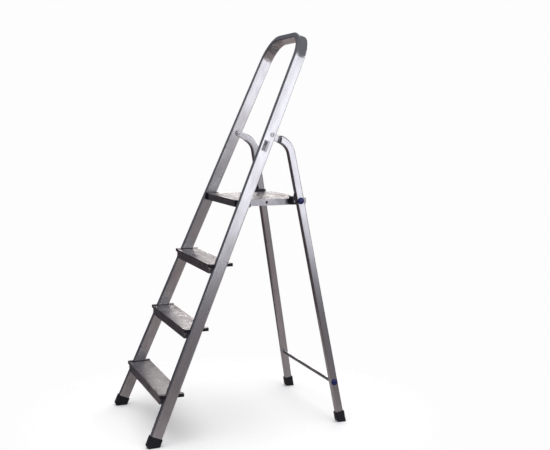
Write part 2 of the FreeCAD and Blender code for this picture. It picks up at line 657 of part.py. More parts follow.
# ---------------------------------------------------------------- fixed crossbar under the platform's nose
def make_support():
    """Box tube between the stiles that carries the platform's front, and its two end caps."""
    height = size("platform_height")
    where = FreeCAD.Placement(V(0, stile_line(height), height), FreeCAD.Rotation())
    top = "-Sizes.deck_skin - Sizes.rest_gap"
    front = "-Sizes.platform_front + Sizes.nose_wall + Sizes.rest_gap"
    bottom = top + " - Sizes.support_height"
    back = front + " + Sizes.support_depth"
    wall = "Sizes.support_wall"
    body = new_body("platform_support_body")
    sketch = sketch_on(body, "platform_support_shape", "YZ_Plane")
    rectangle(sketch, (front, bottom), (back, top))
    rectangle(sketch, (front + " + " + wall, bottom + " + " + wall),
              (back + " - " + wall, top + " - " + wall))
    half = "Sizes.platform_half_width + Sizes.side_gap + Sizes.support_grip"
    body.Tip = extruded(body, "platform_support_tube", sketch, "2 * (%s)" % half)
    node("platform_support", body, where)
    up_stile = height / cosine("front_lean")
    for side, word in SIDES:
        name = "support_cap_" + word
        across = ("Sizes.platform_half_width + Sizes.side_gap",
                  "Places.support_half_width + Sizes.support_wrap")
        bar = side_block(name + "_bar", side, across, ("-Sizes.platform_front", "-Sizes.nose_height"),
                         ("Sizes.nose_depth", "Sizes.nose_height + Sizes.cap_lip"))
        bar = rounded(name + "_round_bar", bar, size("support_corner"), lambda edge: along(edge, V(0, 0, 1)))
        gap = "Sizes.fit_gap"
        pocket = block(name + "_pocket",
                       ("-(%s + %s)" % (half, gap), front + " - " + gap, bottom + " - " + gap),
                       ("2 * (%s + %s)" % (half, gap), "Sizes.support_depth + 2 * " + gap,
                        "Sizes.support_height + 2 * " + gap))
        blank = cut(name + "_blank", bar, [pocket])
        blank.Placement = where
        room = stile_room(name + "_room", side, up_stile - size("tread_rise"), up_stile + size("tread_rise"))
        node(name, cut(name + "_cap", blank, [room]))


# ---------------------------------------------------------------- shoes
def make_shoe(name, frame, low, tube_span, bottom, top):
    """Plastic shoe round a tube's end, its sole level with the floor and rounded at the front.

    low is the tube's low corner across and from front to back, in its frame, and bottom and
    top are the tube's end and the shoe's rim along the tube.
    """
    wall = size("shoe_wall")
    below = 2.0 * size("front_shoe_height")
    span = [text + " + 2 * Sizes.shoe_wall" for text in tube_span]
    sleeve = framed_block(name + "_sleeve", frame, (low[0] - wall, low[1] - wall, bottom - below),
                          (span[0], span[1], "%f" % (top - bottom + below)))
    level = common(name + "_level", sleeve, above_floor(name + "_floor"))
    upwards = frame.Rotation.multVec(V(0, 0, 1))
    doc.recompute()
    front = min(edge.CenterOfMass.y for edge in level.Shape.Edges if edge.BoundBox.ZMax < NEAR)
    shaped = doc.addObject("Part::Fillet", name + "_shaped")
    shaped.Base = level
    chosen = []
    for number, edge in enumerate(level.Shape.Edges, start=1):
        if along(edge, upwards):
            chosen.append((number, wall, wall))
        elif edge.BoundBox.ZMax < NEAR and edge.CenterOfMass.y < front + NEAR:
            chosen.append((number, size("shoe_round"), size("shoe_round")))
    shaped.Edges = chosen
    gap = size("fit_gap")
    span = [text + " + 2 * Sizes.fit_gap" for text in tube_span]
    hollow = framed_block(name + "_hollow", frame, (low[0] - gap, low[1] - gap, bottom),
                          (span[0], span[1], "%f" % (2.0 * (top - bottom))))
    node(name, cut(name + "_shoe", shaped, [hollow]))


def make_shoes():
    for side, word in SIDES:
        low = (-0.5 * size("stile_width"), -0.5 * size("stile_depth"))
        make_shoe("front_shoe_" + word, stile_frame(side), low, ("Sizes.stile_width", "Sizes.stile_depth"),
                  size("stile_lift"), size("front_shoe_height"))
        low_x = -size("tongue_wall") if side == RIGHT else size("tongue_wall") - size("leg_width")
        low = (low_x, size("leg_offset") - 0.5 * size("leg_depth"))
        make_shoe("rear_shoe_" + word, leg_frame(side), low, ("Sizes.leg_width", "Sizes.leg_depth"),
                  -place("leg_end"), below_pivot(0.0) + size("rear_shoe_height"))


# ---------------------------------------------------------------- pivots of the rear legs
def make_pivots():
    """Hollow rivets through stiles and tongues, with a washer inside; a head clears the splayed faces."""
    stile_face = PIVOT_HALF_WIDTH + size("tongue_gap") + size("stile_width") / cosine("front_splay")
    outside = stile_face + size("rivet_head") * tangent("front_splay")
    tongue_face = PIVOT_HALF_WIDTH - size("tongue_wall") / cosine("rear_splay")
    inside = tongue_face - size("washer_radius") * tangent("rear_splay") - size("washer_gap")
    rim = size("rivet_rim")
    for side, word in SIDES:
        name = "pivot_rivet_" + word

        def centre(first, last):
            return (side * 0.5 * (first + last), PIVOT_Y, PIVOT_HEIGHT)

        start = inside - 2.0 * rim
        end = outside + rim
        shank = rod(name + "_shank", "Sizes.rivet_radius", "%f" % (end - start), centre(start, end))
        head = rod(name + "_head", "Sizes.rivet_head", "Sizes.rivet_rim", centre(outside, end))
        head = rounded(name + "_round_head", head, size("rivet_round"), outer_circle(end))
        flare = rod(name + "_flare", "Sizes.rivet_flare", "Sizes.rivet_rim", centre(start, start + rim))
        solid = joined(name + "_solid", [shank, head, flare])
        hollow = rod(name + "_hollow", "Sizes.rivet_hollow", "%f" % (2.0 * (end - start)), centre(start, end))
        node(name, cut(name + "_rivet", solid, [hollow]))
        name = "pivot_washer_" + word
        disc = rod(name + "_disc", "Sizes.washer_radius", "Sizes.rivet_rim", centre(inside - rim, inside))
        hole = rod(name + "_hole", "Sizes.rivet_radius + Sizes.running_gap", THROUGH,
                   centre(inside - rim, inside))
        node(name, cut(name + "_ring", disc, [hole]))


def make_label():
    """Blank label on the right stile's outer face, below the pivot."""
    low = (0.5 * size("stile_width"), -0.5 * size("label_width") - size("label_shift"),
           size("label_place") - 0.5 * size("label_length"))
    span = ("Sizes.label_thickness", "Sizes.label_width", "Sizes.label_length")
    plate = framed_block("label_block", stile_frame(RIGHT), low, span)
    node("label_plate", plate)


# ---------------------------------------------------------------- rear legs
def leg_tube():
    """The tube of the right rear leg: straight, then bent forward towards its pivot."""
    name = "leg_tube"
    body = new_body(name)
    path = sketch_on(body, name + "_path", "YZ_Plane")
    radius = size("leg_bend_radius")
    offset = size("leg_offset")
    end, bend = place("leg_end"), place("leg_bend_start")
    path.addGeometry(Part.LineSegment(V(offset, -end, 0), V(offset, -bend, 0)), False)
    circle = Part.Circle(V(offset - radius, -bend, 0), V(0, 0, 1), radius)
    path.addGeometry(Part.ArcOfCircle(circle, 0.0, TURN), False)
    path.addConstraint(Sketcher.Constraint("Tangent", 0, 2, 1, 1))
    path.addConstraint(Sketcher.Constraint("Vertical", 0))
    pin(path, 0, 1, ("Sizes.leg_offset", "-Places.leg_end"))
    level = path.addConstraint(Sketcher.Constraint("DistanceY", -1, 1, 0, 2, -bend))
    path.setExpression("Constraints[%d]" % level, "-Places.leg_bend_start")
    bend_size = path.addConstraint(Sketcher.Constraint("Radius", 1, radius))
    path.setExpression("Constraints[%d]" % bend_size, "Sizes.leg_bend_radius")
    turned = path.addConstraint(Sketcher.Constraint("Angle", 1, TURN))
    path.setExpression("Constraints[%d]" % turned, "Sizes.leg_turn")
    section = sketch_on(body, name + "_section", "XY_Plane")
    section.AttachmentOffset = FreeCAD.Placement(V(0, 0, -end), FreeCAD.Rotation())
    centre = ("Sizes.leg_width / 2 - Sizes.tongue_wall", "Sizes.leg_offset")
    for less in (0, 1):
        taken = less * size("leg_wall")
        text = " - %d * Sizes.leg_wall" % less
        numbers = (0.5 * size("leg_width") - taken, 0.5 * size("leg_depth") - taken,
                   size("leg_corner") - taken)
        tube_section(section, centre, ("Sizes.leg_width / 2" + text, "Sizes.leg_depth / 2" + text),
                     "Sizes.leg_corner" + text, numbers)
    pipe = body.newObject("PartDesign::AdditivePipe", name + "_pipe")
    pipe.Profile = section
    pipe.Spine = path
    body.Tip = pipe
    return body


def leg_tongue():
    """Its pressed-flat end: a short taper from the tube to a plate with a round tip at the pivot."""
    name = "leg_tongue"
    step_end = "Places.tongue_length - Sizes.tongue_step"
    inner, outer = "-Sizes.tongue_wall", "Sizes.leg_width - Sizes.tongue_wall"
    stub = block(name + "_stub", (inner, step_end, "-Sizes.leg_depth / 2"),
                 ("Sizes.leg_width", "Sizes.tongue_step", "Sizes.leg_depth"))
    stub = rounded(name + "_round_stub", stub, size("leg_corner"), lambda edge: along(edge, V(0, 1, 0)))
    broad = "Sizes.leg_depth / 2"
    narrow = broad + " - Sizes.tongue_draft"
    taper = doc.addObject("Part::Wedge", name + "_taper")
    bound(taper, {"Xmin": inner, "Xmax": "0", "X2min": inner, "X2max": outer,
                  "Ymin": step_end, "Ymax": "Places.tongue_length",
                  "Zmin": "-(%s)" % narrow, "Zmax": narrow, "Z2min": "-(%s)" % broad, "Z2max": broad})
    plate = doc.addObject("Part::Wedge", name + "_plate")
    bound(plate, {"Xmin": inner, "Xmax": "0", "X2min": inner, "X2max": "0",
                  "Ymin": "-Sizes.tongue_tip / 2", "Ymax": step_end,
                  "Zmin": "-Sizes.tongue_neck", "Zmax": "Sizes.tongue_neck",
                  "Z2min": "-(%s)" % narrow, "Z2max": narrow})
    middle = (-0.5 * size("tongue_wall"), 0, 0)
    tip = rod(name + "_tip", "Sizes.tongue_tip", "Sizes.tongue_wall", middle)
    whole = joined(name + "_whole", [common(name + "_step", stub, taper), plate, tip])
    whole.Placement = FreeCAD.Placement(V(), FreeCAD.Rotation(V(1, 0, 0), size("leg_turn") - 90.0))
    return whole


def make_rear_legs():
    """The right leg with its three holes, and the left one as its mirror image."""
    shape = joined("leg_blank", [leg_tube(), leg_tongue()])
    shape.Placement = leg_frame(RIGHT)
    holes = [
        rod("leg_pivot_hole", "Sizes.rivet_radius + Sizes.running_gap", "Sizes.leg_width",
            (PIVOT_HALF_WIDTH, PIVOT_Y, PIVOT_HEIGHT)),
        rod("leg_axle_hole", "Sizes.axle_radius + Sizes.fit_gap", THROUGH,
            (leg_face(AXLE_HEIGHT, 0.5), AXLE_Y, AXLE_HEIGHT)),
        rod("leg_brace_hole", "Sizes.brace_radius + Sizes.fit_gap", THROUGH,
            (leg_face(size("brace_height"), 0.5), BRACE_Y, size("brace_height")))]
    right = cut("leg_right", shape, holes)
    node("rear_leg_right", right)
    left = doc.addObject("Part::Mirroring", "leg_left")
    left.Source = right
    left.Normal = V(1, 0, 0)
    node("rear_leg_left", left)


def make_cross_tubes():
    """The platform's axle and the rear brace, both tubes between and through the rear legs."""
    for name, radius, half, middle in (
            ("platform_axle", "Sizes.axle_radius", "Places.axle_half_length", (0, AXLE_Y, AXLE_HEIGHT)),
            ("rear_brace", "Sizes.brace_radius", "Places.brace_half_length",
             (0, BRACE_Y, size("brace_height")))):
        outside = rod(name + "_outside", radius, "2 * " + half, middle)
        inside = rod(name + "_inside", radius + " - Sizes.brace_wall", "2 * " + half, middle)
        node(name, cut(name + "_tube", outside, [inside]))


def make_domes():
    """Round plastic caps over the axle's and the brace's ends, flat on the legs' outer faces."""
    for kind, height in (("axle_cap", AXLE_HEIGHT), ("brace_cap", size("brace_height"))):
        for side, word in SIDES:
            name = "%s_%s" % (kind, word)
            across = size("leg_width") - size("tongue_wall") + 0.5 * size("dome_height")
            middle = (side * across, size("leg_offset"), below_pivot(height))
            disc = rod(name + "_disc", "Sizes.dome_radius", "Sizes.dome_height", middle)
            outer = across + 0.5 * size("dome_height")
            dome = rounded(name + "_dome", disc, size("dome_round"), outer_circle(outer))
            node(name, dome, leg_frame(side))


def make_hinge_blocks():
    """Plastic blocks between the platform's side bars and the rear legs, lapping the legs' front."""
    half_leg = 0.5 * size("leg_depth") / cosine("rear_lean")
    screws = []
    for side, word in SIDES:
        name = "hinge_block_" + word
        across = ("Sizes.platform_half_width + Sizes.side_gap", "Places.leg_clear_width + Sizes.block_wing")
        low = ("-%f - Sizes.block_front" % half_leg, "Sizes.block_rise - Sizes.block_height")
        bar = side_block(name + "_bar", side, across, low,
                         ("(1 + Sizes.block_cover) * %f + Sizes.block_front" % half_leg,
                          "Sizes.block_height"))
        bar = rounded(name + "_round_bar", bar, size("block_corner"), lambda edge: along(edge, V(0, 0, 1)))
        across = ("Places.leg_clear_width", "Places.leg_clear_width + Sizes.block_wing")
        fin = side_block(name + "_fin", side, across, ("-%f - Sizes.fin_wall" % half_leg, "0"),
                         ("Sizes.fin_wall + %f" % half_leg, "Sizes.block_rise + Sizes.block_fin"))
        blank = joined(name + "_blank", [bar, fin])
        blank.Placement = FreeCAD.Placement(V(0, AXLE_Y, size("platform_height")), FreeCAD.Rotation())
        below = -below_pivot(size("platform_height"))
        around = 2.0 * size("block_height")
        room = leg_room(name + "_room", side, below - around, below + around)
        bore = rod(name + "_bore", "Sizes.axle_radius + Sizes.fit_gap", THROUGH,
                   (side * leg_face(AXLE_HEIGHT, 0.0), AXLE_Y, AXLE_HEIGHT))
        face = place("leg_clear_width") + size("block_wing")
        spot = (AXLE_Y - half_leg - 0.5 * size("block_front"), size("platform_height") - size("screw_drop"))
        hole = rod(name + "_screw_hole", "Sizes.screw_radius / 2 + Sizes.fit_gap", "2 * Sizes.screw_length",
                   (side * face, *spot))
        node(name, cut(name + "_piece", blank, [room, bore, hole]))
        middle = face + 0.5 * size("screw_length") - size("screw_sunk")
        shank = rod(name + "_shank", "Sizes.screw_radius / 2", "Sizes.screw_length", (side * middle, *spot))
        middle = face + 0.5 * size("screw_head")
        head = rod(name + "_head", "Sizes.screw_radius", "Sizes.screw_head", (side * middle, *spot))
        screws.append(joined(name + "_screw", [shank, head]))
    group = doc.addObject("Part::Compound", "hinge_screw_group")
    group.Links = screws
    node("hinge_screws", group)


# ---------------------------------------------------------------- platform
def make_nose():
    """Ribbed front extrusion whose front wall hooks over the fixed crossbar, and its plastic corners."""
    where = FreeCAD.Placement(V(0, PLATFORM_FRONT, size("platform_height")), FreeCAD.Rotation())
    depth, skin, bottom = "Sizes.nose_depth", "-Sizes.deck_skin", "-Sizes.nose_height"
    drop, inner = skin + " - Sizes.nose_rear_drop", depth + " - Sizes.deck_web"
    corners = (("0", "0"), (depth, "0"), (depth, drop), (inner, drop),
               (inner, skin), ("Sizes.nose_wall", skin), ("Sizes.nose_wall", bottom), ("0", bottom))
    body = new_body("platform_nose_body")
    shape = polygon(sketch_on(body, "platform_nose_shape", "YZ_Plane"), corners)
    body.Tip = extruded(body, "platform_nose_bar", shape, "2 * Sizes.nose_half_width")
    low = ("Sizes.rib_pitch", "-Sizes.rib_height")
    groove = rectangle(sketch_on(body, "platform_nose_groove", "YZ_Plane"), low,
                       (low[0] + " + Sizes.rib_gap", "Sizes.rib_pitch"))
    count = "(floor(Sizes.nose_depth / Sizes.rib_pitch) - %d)"
    grooved(body, "platform_nose_grooves", groove, "Y_Axis", count % 1, count % 2 + " * Sizes.rib_pitch")
    low = ("-Sizes.rib_pitch", bottom + " + Sizes.rib_pitch")
    groove = rectangle(sketch_on(body, "platform_nose_front_groove", "YZ_Plane"), low,
                       ("Sizes.rib_height", low[1] + " + Sizes.rib_gap"))
    count = "(floor(Sizes.nose_height / Sizes.rib_pitch) - %d)"
    grooved(body, "platform_nose_front_grooves", groove, "Z_Axis",
            count % 1, count % 2 + " * Sizes.rib_pitch")
    node("platform_nose", body, where)
    for side, word in SIDES:
        name = "platform_corner_" + word
        across = ("Sizes.nose_half_width", "Sizes.platform_half_width")
        top = side_block(name + "_top", side, across, ("0", skin), (depth, "Sizes.deck_skin"))
        front = side_block(name + "_front", side, across, ("0", bottom),
                           ("Sizes.nose_wall", "Sizes.nose_height"))
        corner = joined(name + "_blank", [top, front])
        corner = rounded(name + "_piece", corner, size("corner_round"),
                         lambda edge: along(edge, V(1, 0, 0)) and edge.CenterOfMass.y < NEAR)
        node(name, corner, where)


def make_deck():
    """Ribbed deck with stiffeners below and a turned-down rear edge."""
    half = "Sizes.platform_half_width - Sizes.side_bar_wall"
    front = "-Places.platform_reach + Sizes.nose_depth"
    back = "Sizes.platform_overhang"
    skin = "-Sizes.deck_skin"
    drop = skin + " - Sizes.stiffener_height"
    corners = [(front, "0"), (back, "0"), (back, "-Sizes.deck_rear_drop"),
               (back + " - Sizes.deck_web", "-Sizes.deck_rear_drop"), (back + " - Sizes.deck_web", skin)]
    run = "(Places.platform_reach - Sizes.nose_depth)"
    for share in STIFFENER_SHARES:
        spot = "-%.2f * %s" % (share, run)
        ahead = spot + " + Sizes.deck_web"
        corners += [(ahead, skin), (ahead, drop), (spot, drop), (spot, skin)]
    corners.append((front, skin))
    body = new_body("platform_deck_body")
    shape = polygon(sketch_on(body, "platform_deck_shape", "YZ_Plane"), corners)
    body.Tip = extruded(body, "platform_deck_plate", shape, "2 * (%s)" % half)
    low = (front + " + Sizes.rib_pitch / 2", "-Sizes.rib_height")
    groove = rectangle(sketch_on(body, "platform_deck_groove", "YZ_Plane"), low,
                       (low[0] + " + Sizes.rib_gap", "Sizes.rib_pitch"))
    count = "(floor((%s + Sizes.platform_overhang) / Sizes.rib_pitch) - %%d)" % run
    grooved(body, "platform_deck_grooves", groove, "Y_Axis", count % 0, count % 1 + " * Sizes.rib_pitch")
    node("platform_deck", body, FreeCAD.Placement(V(0, AXLE_Y, size("platform_height")), FreeCAD.Rotation()))


def make_side_bars():
    """Flat bars on both sides of the deck, bored for the axle, each with one rivet."""
    where = FreeCAD.Placement(V(0, AXLE_Y, size("platform_height")), FreeCAD.Rotation())
    inner = "Sizes.platform_half_width - Sizes.side_bar_wall"
    start = "-Places.platform_reach + Sizes.side_bar_start"
    rivets = []
    spot = (AXLE_Y - place("platform_reach") + size("bar_rivet_place"),
            size("platform_height") - 0.5 * size("side_bar_height"))
    for side, word in SIDES:
        name = "platform_bar_" + word
        bar = side_block(name + "_bar", side, (inner, "Sizes.platform_half_width"),
                         (start, "-Sizes.side_bar_height"),
                         ("Places.platform_reach - Sizes.side_bar_start + Sizes.platform_overhang",
                          "Sizes.side_bar_height"))
        bar = rounded(name + "_round_bar", bar, size("side_bar_round"),
                      lambda edge: along(edge, V(1, 0, 0)) and edge.CenterOfMass.z < -NEAR)
        bar.Placement = where
        across = side * (size("platform_half_width") - 0.5 * size("side_bar_wall"))
        bore = rod(name + "_bore", "Sizes.axle_radius + Sizes.running_gap", THROUGH,
                   (across, AXLE_Y, AXLE_HEIGHT))
        hole = rod(name + "_hole", "Sizes.bar_rivet_radius", THROUGH, (across, *spot))
        node(name, cut(name + "_piece", bar, [bore, hole]))
        shank = rod(name + "_shank", "Sizes.bar_rivet_radius",
                    "Sizes.side_bar_wall + 2 * Sizes.bar_rivet_rim", (across, *spot))
        outer = side * (size("platform_half_width") + 0.5 * size("bar_rivet_rim"))
        head = rod(name + "_head", "Sizes.bar_rivet_head", "Sizes.bar_rivet_rim", (outer, *spot))
        inside = side * (size("platform_half_width") - size("side_bar_wall") - 0.5 * size("bar_rivet_rim"))
        tail = rod(name + "_tail", "Sizes.bar_rivet_tail", "Sizes.bar_rivet_rim", (inside, *spot))
        rivets.append(joined(name + "_rivet", [shank, head, tail]))
    group = doc.addObject("Part::Compound", "platform_rivet_group")
    group.Links = rivets
    node("platform_rivets", group)


# ---------------------------------------------------------------- build and export
def settle():
    """Work out again any shape that came out unsound or empty, since cuts and joints share threads."""
    doc.recompute()
    for _ in range(RETRIES):
        shapes = [(thing, thing.Shape) for thing in doc.Objects if hasattr(thing, "Shape")]
        poor = [thing for thing, shape in shapes if not shape.isNull()
                and not (shape.isValid() and shape.BoundBox.isValid())]
        if not poor:
            return
        for thing in poor:
            thing.touch()
        doc.recompute()


def check_document():
    """Stop at any feature that failed and at any sub-part without a sound shape."""
    for thing in doc.Objects:
        if "Invalid" in thing.State or "Error" in thing.State:
            raise RuntimeError("%s failed: %s" % (thing.Name, thing.State))
    for name, thing in nodes.items():
        if thing.Shape.isNull() or not thing.Shape.isValid() or not thing.Shape.Solids:
            raise RuntimeError("%s has no sound solid" % name)


make_hoop()
for tread_number, tread_height in enumerate(TREAD_HEIGHTS, start=1):
    make_tread(tread_number, tread_height)
    for tread_side, tread_word in SIDES:
        make_tread_cap(tread_number, tread_height, tread_side, tread_word)
make_support()
make_shoes()
make_pivots()
make_label()
make_rear_legs()
make_cross_tubes()
make_domes()
make_hinge_blocks()
make_nose()
make_deck()
make_side_bars()
settle()
check_document()

os.makedirs("parts", exist_ok=True)
for node_name, finished in nodes.items():
    finished.Shape.exportStep(os.path.join("parts", node_name + ".step"))
    print(node_name, len(finished.Shape.Solids), round(finished.Shape.Volume))
print("pivot", PIVOT_Y, PIVOT_HEIGHT, "axle", AXLE_Y, AXLE_HEIGHT, "platform front", PLATFORM_FRONT)
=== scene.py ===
"""Looks of the platform step ladder: an aluminium A-frame with three treads, a folding
platform and a hand-rail hoop. Lengths are in metres, in the ladder's own frame:
+Z up, -Y the climbing side, +X the climber's right.
"""
import json
import math

import bmesh
import bpy
import numpy as np
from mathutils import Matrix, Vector


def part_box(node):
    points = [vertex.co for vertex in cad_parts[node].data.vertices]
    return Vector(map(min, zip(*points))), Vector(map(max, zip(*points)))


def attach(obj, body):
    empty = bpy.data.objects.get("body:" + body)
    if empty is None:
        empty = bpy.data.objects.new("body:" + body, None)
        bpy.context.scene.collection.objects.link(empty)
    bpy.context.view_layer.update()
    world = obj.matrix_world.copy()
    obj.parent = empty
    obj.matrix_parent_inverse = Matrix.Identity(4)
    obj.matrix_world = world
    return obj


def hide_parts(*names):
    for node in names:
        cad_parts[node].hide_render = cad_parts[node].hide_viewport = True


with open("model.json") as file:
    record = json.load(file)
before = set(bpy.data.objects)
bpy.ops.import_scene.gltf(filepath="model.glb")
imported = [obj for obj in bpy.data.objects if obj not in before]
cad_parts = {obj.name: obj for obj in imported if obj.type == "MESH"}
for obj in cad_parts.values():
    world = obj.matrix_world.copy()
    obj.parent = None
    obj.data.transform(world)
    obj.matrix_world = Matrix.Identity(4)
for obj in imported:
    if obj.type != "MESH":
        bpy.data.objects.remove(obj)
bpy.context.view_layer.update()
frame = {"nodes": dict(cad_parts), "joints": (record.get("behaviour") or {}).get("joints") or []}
nodes = frame["nodes"]
MM = 0.001
SIDES = ((1, "right"), (-1, "left"))


# ---------------------------------------------------------------- stage
# A small pale floor that fades out into a white surround and is painted brownish grey where the metal mirrors it,
# a tall soft panel on the right behind the viewer that the tubes mirror, a dimmer one opposite, and a lamp over
# the floor.
def linear(code):
    """A colour written as sRGB hex, turned to linear: c/12.92 below 0.04045, else ((c+0.055)/1.055)^2.4."""
    parts = [int(code[step:step + 2], 16) / 255.0 for step in (1, 3, 5)]
    return tuple(c / 12.92 if c <= 0.04045 else ((c + 0.055) / 1.055) ** 2.4 for c in parts) + (1.0,)


def add(tree, kind, links=None, **settings):
    """A new node with its settings made and its sockets given a value or a link."""
    made = tree.nodes.new(kind)
    for name, value in settings.items():
        setattr(made, name, value)
    for name, value in (links or {}).items():
        if isinstance(value, bpy.types.NodeSocket):
            tree.links.new(value, made.inputs[name])
        else:
            made.inputs[name].default_value = value
    return made


def ramp(tree, factor, stops, interpolation="LINEAR"):
    """A colour ramp through (place, hex colour) stops."""
    made = add(tree, "ShaderNodeValToRGB", {"Fac": factor})
    made.color_ramp.interpolation = interpolation
    elements = made.color_ramp.elements
    while len(elements) < len(stops):
        elements.new(0.5)
    for element, (spot, colour) in zip(elements, stops):
        element.position = spot
        element.color = linear(colour)
    return made.outputs["Color"]


def new_material(name):
    """An empty material, its node tree and its output node."""
    made = bpy.data.materials.new(name)
    made.use_nodes = True
    made.node_tree.nodes.clear()
    return made, made.node_tree, add(made.node_tree, "ShaderNodeOutputMaterial")


def new_object(name, mesh):
    made = bpy.data.objects.new(name, mesh)
    bpy.context.scene.collection.objects.link(made)
    return made


FLOOR_SPAN = 0.85
FLOOR_CLEAR = 0.45


def make_floor():
    """A disc of rings, r = span * step / rings, whose stuff thins out from the clear radius to the rim."""
    radius = np.linspace(0.02, FLOOR_SPAN, 24)[:, None]
    turn = np.linspace(0, 2 * math.pi, 96, endpoint=False)[None, :]
    points = np.stack((radius * np.cos(turn), radius * np.sin(turn), 0 * radius * turn - 0.0004), -1)
    index = np.arange(points[..., 0].size).reshape(points.shape[:2])
    after = np.roll(index, -1, axis=1)
    quads = np.stack((index[:-1], index[1:], after[1:], after[:-1]), -1).reshape(-1, 4).tolist()
    mesh = bpy.data.meshes.new("floor")
    mesh.from_pydata(points.reshape(-1, 3).tolist(), [], quads + [index[0].tolist()])
    pale, tree, out = new_material("pale_painted_board")
    where = add(tree, "ShaderNodeTexCoord").outputs["Object"]
    grain = add(tree, "ShaderNodeTexNoise", {"Vector": where, "Scale": 90.0, "Detail": 3.0})
    tint = ramp(tree, grain.outputs["Fac"], ((0.3, "#f2f2f2"), (0.7, "#f6f6f5")))
    # Seen in the metal, the floor turns brownish grey (#958c8a). This is a painted reflection that darkens the
    # tubes' lower faces; it is not the floor's own colour.
    mirrored = add(tree, "ShaderNodeLightPath").outputs["Is Glossy Ray"]
    floor_tint_and_painted_reflection = add(tree, "ShaderNodeMix", {"Factor": mirrored, 6: tint, 7: linear("#958c8a")},
                data_type="RGBA").outputs[2]
    paint = add(tree, "ShaderNodeBsdfPrincipled", {"Base Color": floor_tint_and_painted_reflection, "Roughness": 0.8})
    clear = add(tree, "ShaderNodeBsdfTransparent")
    reach = add(tree, "ShaderNodeVectorMath", {0: where}, operation="LENGTH").outputs["Value"]
    share = add(tree, "ShaderNodeMapRange", {"Value": reach, "From Min": FLOOR_CLEAR, "From Max": FLOOR_SPAN},
                interpolation_type="SMOOTHERSTEP").outputs["Result"]
    mixed = add(tree, "ShaderNodeMixShader", {"Fac": share, 1: paint.outputs[0], 2: clear.outputs[0]})
    tree.links.new(mixed.outputs[0], out.inputs["Surface"])
    mesh.materials.append(pale)
    new_object("floor", mesh)


def make_surround():
    """White where it is looked at; to the ladder it is dusky round the horizon and on the climbing side."""
    world = bpy.data.worlds.new("surround")
    bpy.context.scene.world = world
    world.use_nodes = True
    tree = world.node_tree
    tree.nodes.clear()
    way = add(tree, "ShaderNodeTexCoord").outputs["Generated"]
    height = add(tree, "ShaderNodeSeparateXYZ", {"Vector": way}).outputs["Z"]
    level = add(tree, "ShaderNodeMapRange", {"Value": height, "From Min": -0.5, "From Max": 0.5}).outputs["Result"]
    tones = ramp(tree, level, ((0.0, "#a29897"), (0.28, "#958b8a"), (0.42, "#3f4149"), (0.50, "#2f323b"),
                               (0.58, "#5b5d63"), (0.80, "#6d6f75"), (1.0, "#7a7b80")))
    front = ramp(tree, level, ((0.0, "#4c4142"), (0.45, "#3a3438"), (0.52, "#3b3c44"), (0.62, "#55575f"),
                               (1.0, "#74757b")))
    turned_to = add(tree, "ShaderNodeSeparateXYZ", {"Vector": way}).outputs["Y"]
    rear_share = add(tree, "ShaderNodeMapRange", {"Value": turned_to, "From Min": -0.25, "From Max": 0.15})
    tones = add(tree, "ShaderNodeMix", {"Factor": rear_share.outputs["Result"], 6: front, 7: tones},
                data_type="RGBA").outputs[2]
    dusk = add(tree, "ShaderNodeBackground", {"Color": tones, "Strength": 1.0})
    white = add(tree, "ShaderNodeBackground", {"Color": linear("#fdfdfd"), "Strength": 1.0})
    seen = add(tree, "ShaderNodeLightPath").outputs["Is Camera Ray"]
    mixed = add(tree, "ShaderNodeMixShader", {"Fac": seen, 1: dusk.outputs[0], 2: white.outputs[0]})
    out = add(tree, "ShaderNodeOutputWorld", {"Surface": mixed.outputs[0]})
    return out


def add_panel(name, centre, aim, width, height, power, colour="#ffffff", mirrored=True):
    """A rectangular soft light that faces the aim point; mirrored ones show in the metal."""
    lamp = bpy.data.lights.new(name, "AREA")
    lamp.shape = "RECTANGLE"
    lamp.size, lamp.size_y = width, height
    lamp.energy = power
    lamp.color = linear(colour)[:3]
    made = bpy.data.objects.new(name, lamp)
    bpy.context.scene.collection.objects.link(made)
    made.location = centre
    made.rotation_euler = (Vector(aim) - Vector(centre)).to_track_quat("-Z", "Y").to_euler()
    made.visible_glossy = mirrored
    made.visible_camera = False
    return made


make_floor()
make_surround()
add_panel("right_panel", (2.75, 1.45, 1.33), (0.0, 0.1, 1.33), 3.4, 1.54, 24.0, "#fbfaff")
add_panel("rear_panel", (-3.2, 2.4, 1.55), (0.0, 0.0, 0.9), 3.6, 1.2, 62.0, "#fffaf6")
add_panel("floor_lamp", (0.3, -0.2, 3.6), (0.0, 0.0, 0.0), 6.0, 6.0, 230.0, mirrored=False)

# The viewer stands to the right and a little in front, at chest height.
VIEW_PLACE = (3.0764, -1.0530, 1.0877)
VIEW_TURN = 67.97
VIEW_DOWN = 6.69
VIEW_LENS = 58.57
camera = bpy.data.objects.new("camera", bpy.data.cameras.new("camera"))
bpy.context.scene.collection.objects.link(camera)
camera.location = VIEW_PLACE
camera.rotation_euler = (math.radians(90.0 - VIEW_DOWN), 0.0, math.radians(VIEW_TURN))
camera.data.lens = VIEW_LENS
camera.data.sensor_width = 36.0
camera.data.clip_start = 0.05
bpy.context.scene.camera = camera
bpy.context.scene.view_settings.view_transform = "Standard"


# ---------------------------------------------------------------- stiles and hoop
# One drawn aluminium tube, 40 by 20 mm, bent twice on a roller die. The wall outside each
# bend has sunk between two ridges and the inner one is gathered into faint ripples.
STILE_DEPTH = 40 * MM
STILE_WIDTH = 20 * MM
STILE_CORNER = 3 * MM
STILE_LIFT = 15 * MM
FRONT_LEAN = math.radians(23.5)
FRONT_SPLAY = math.radians(3.55)
FLOOR_HALF_WIDTH = 257.5 * MM
HOOP_LENGTH = 1519 * MM
BEND_RADIUS = 92 * MM
SUNK_DEPTH = 6.0 * MM
RIPPLE_HEIGHT = 0.45 * MM
RIPPLES = 6
PIVOT_ALONG = 1134 * MM
PIVOT_BACK = 7.5 * MM
pivot = Vector(frame["joints"][0]["pos_m"])
FRONT_LINE = pivot.y - PIVOT_ALONG * math.sin(FRONT_LEAN) - PIVOT_BACK * math.cos(FRONT_LEAN)


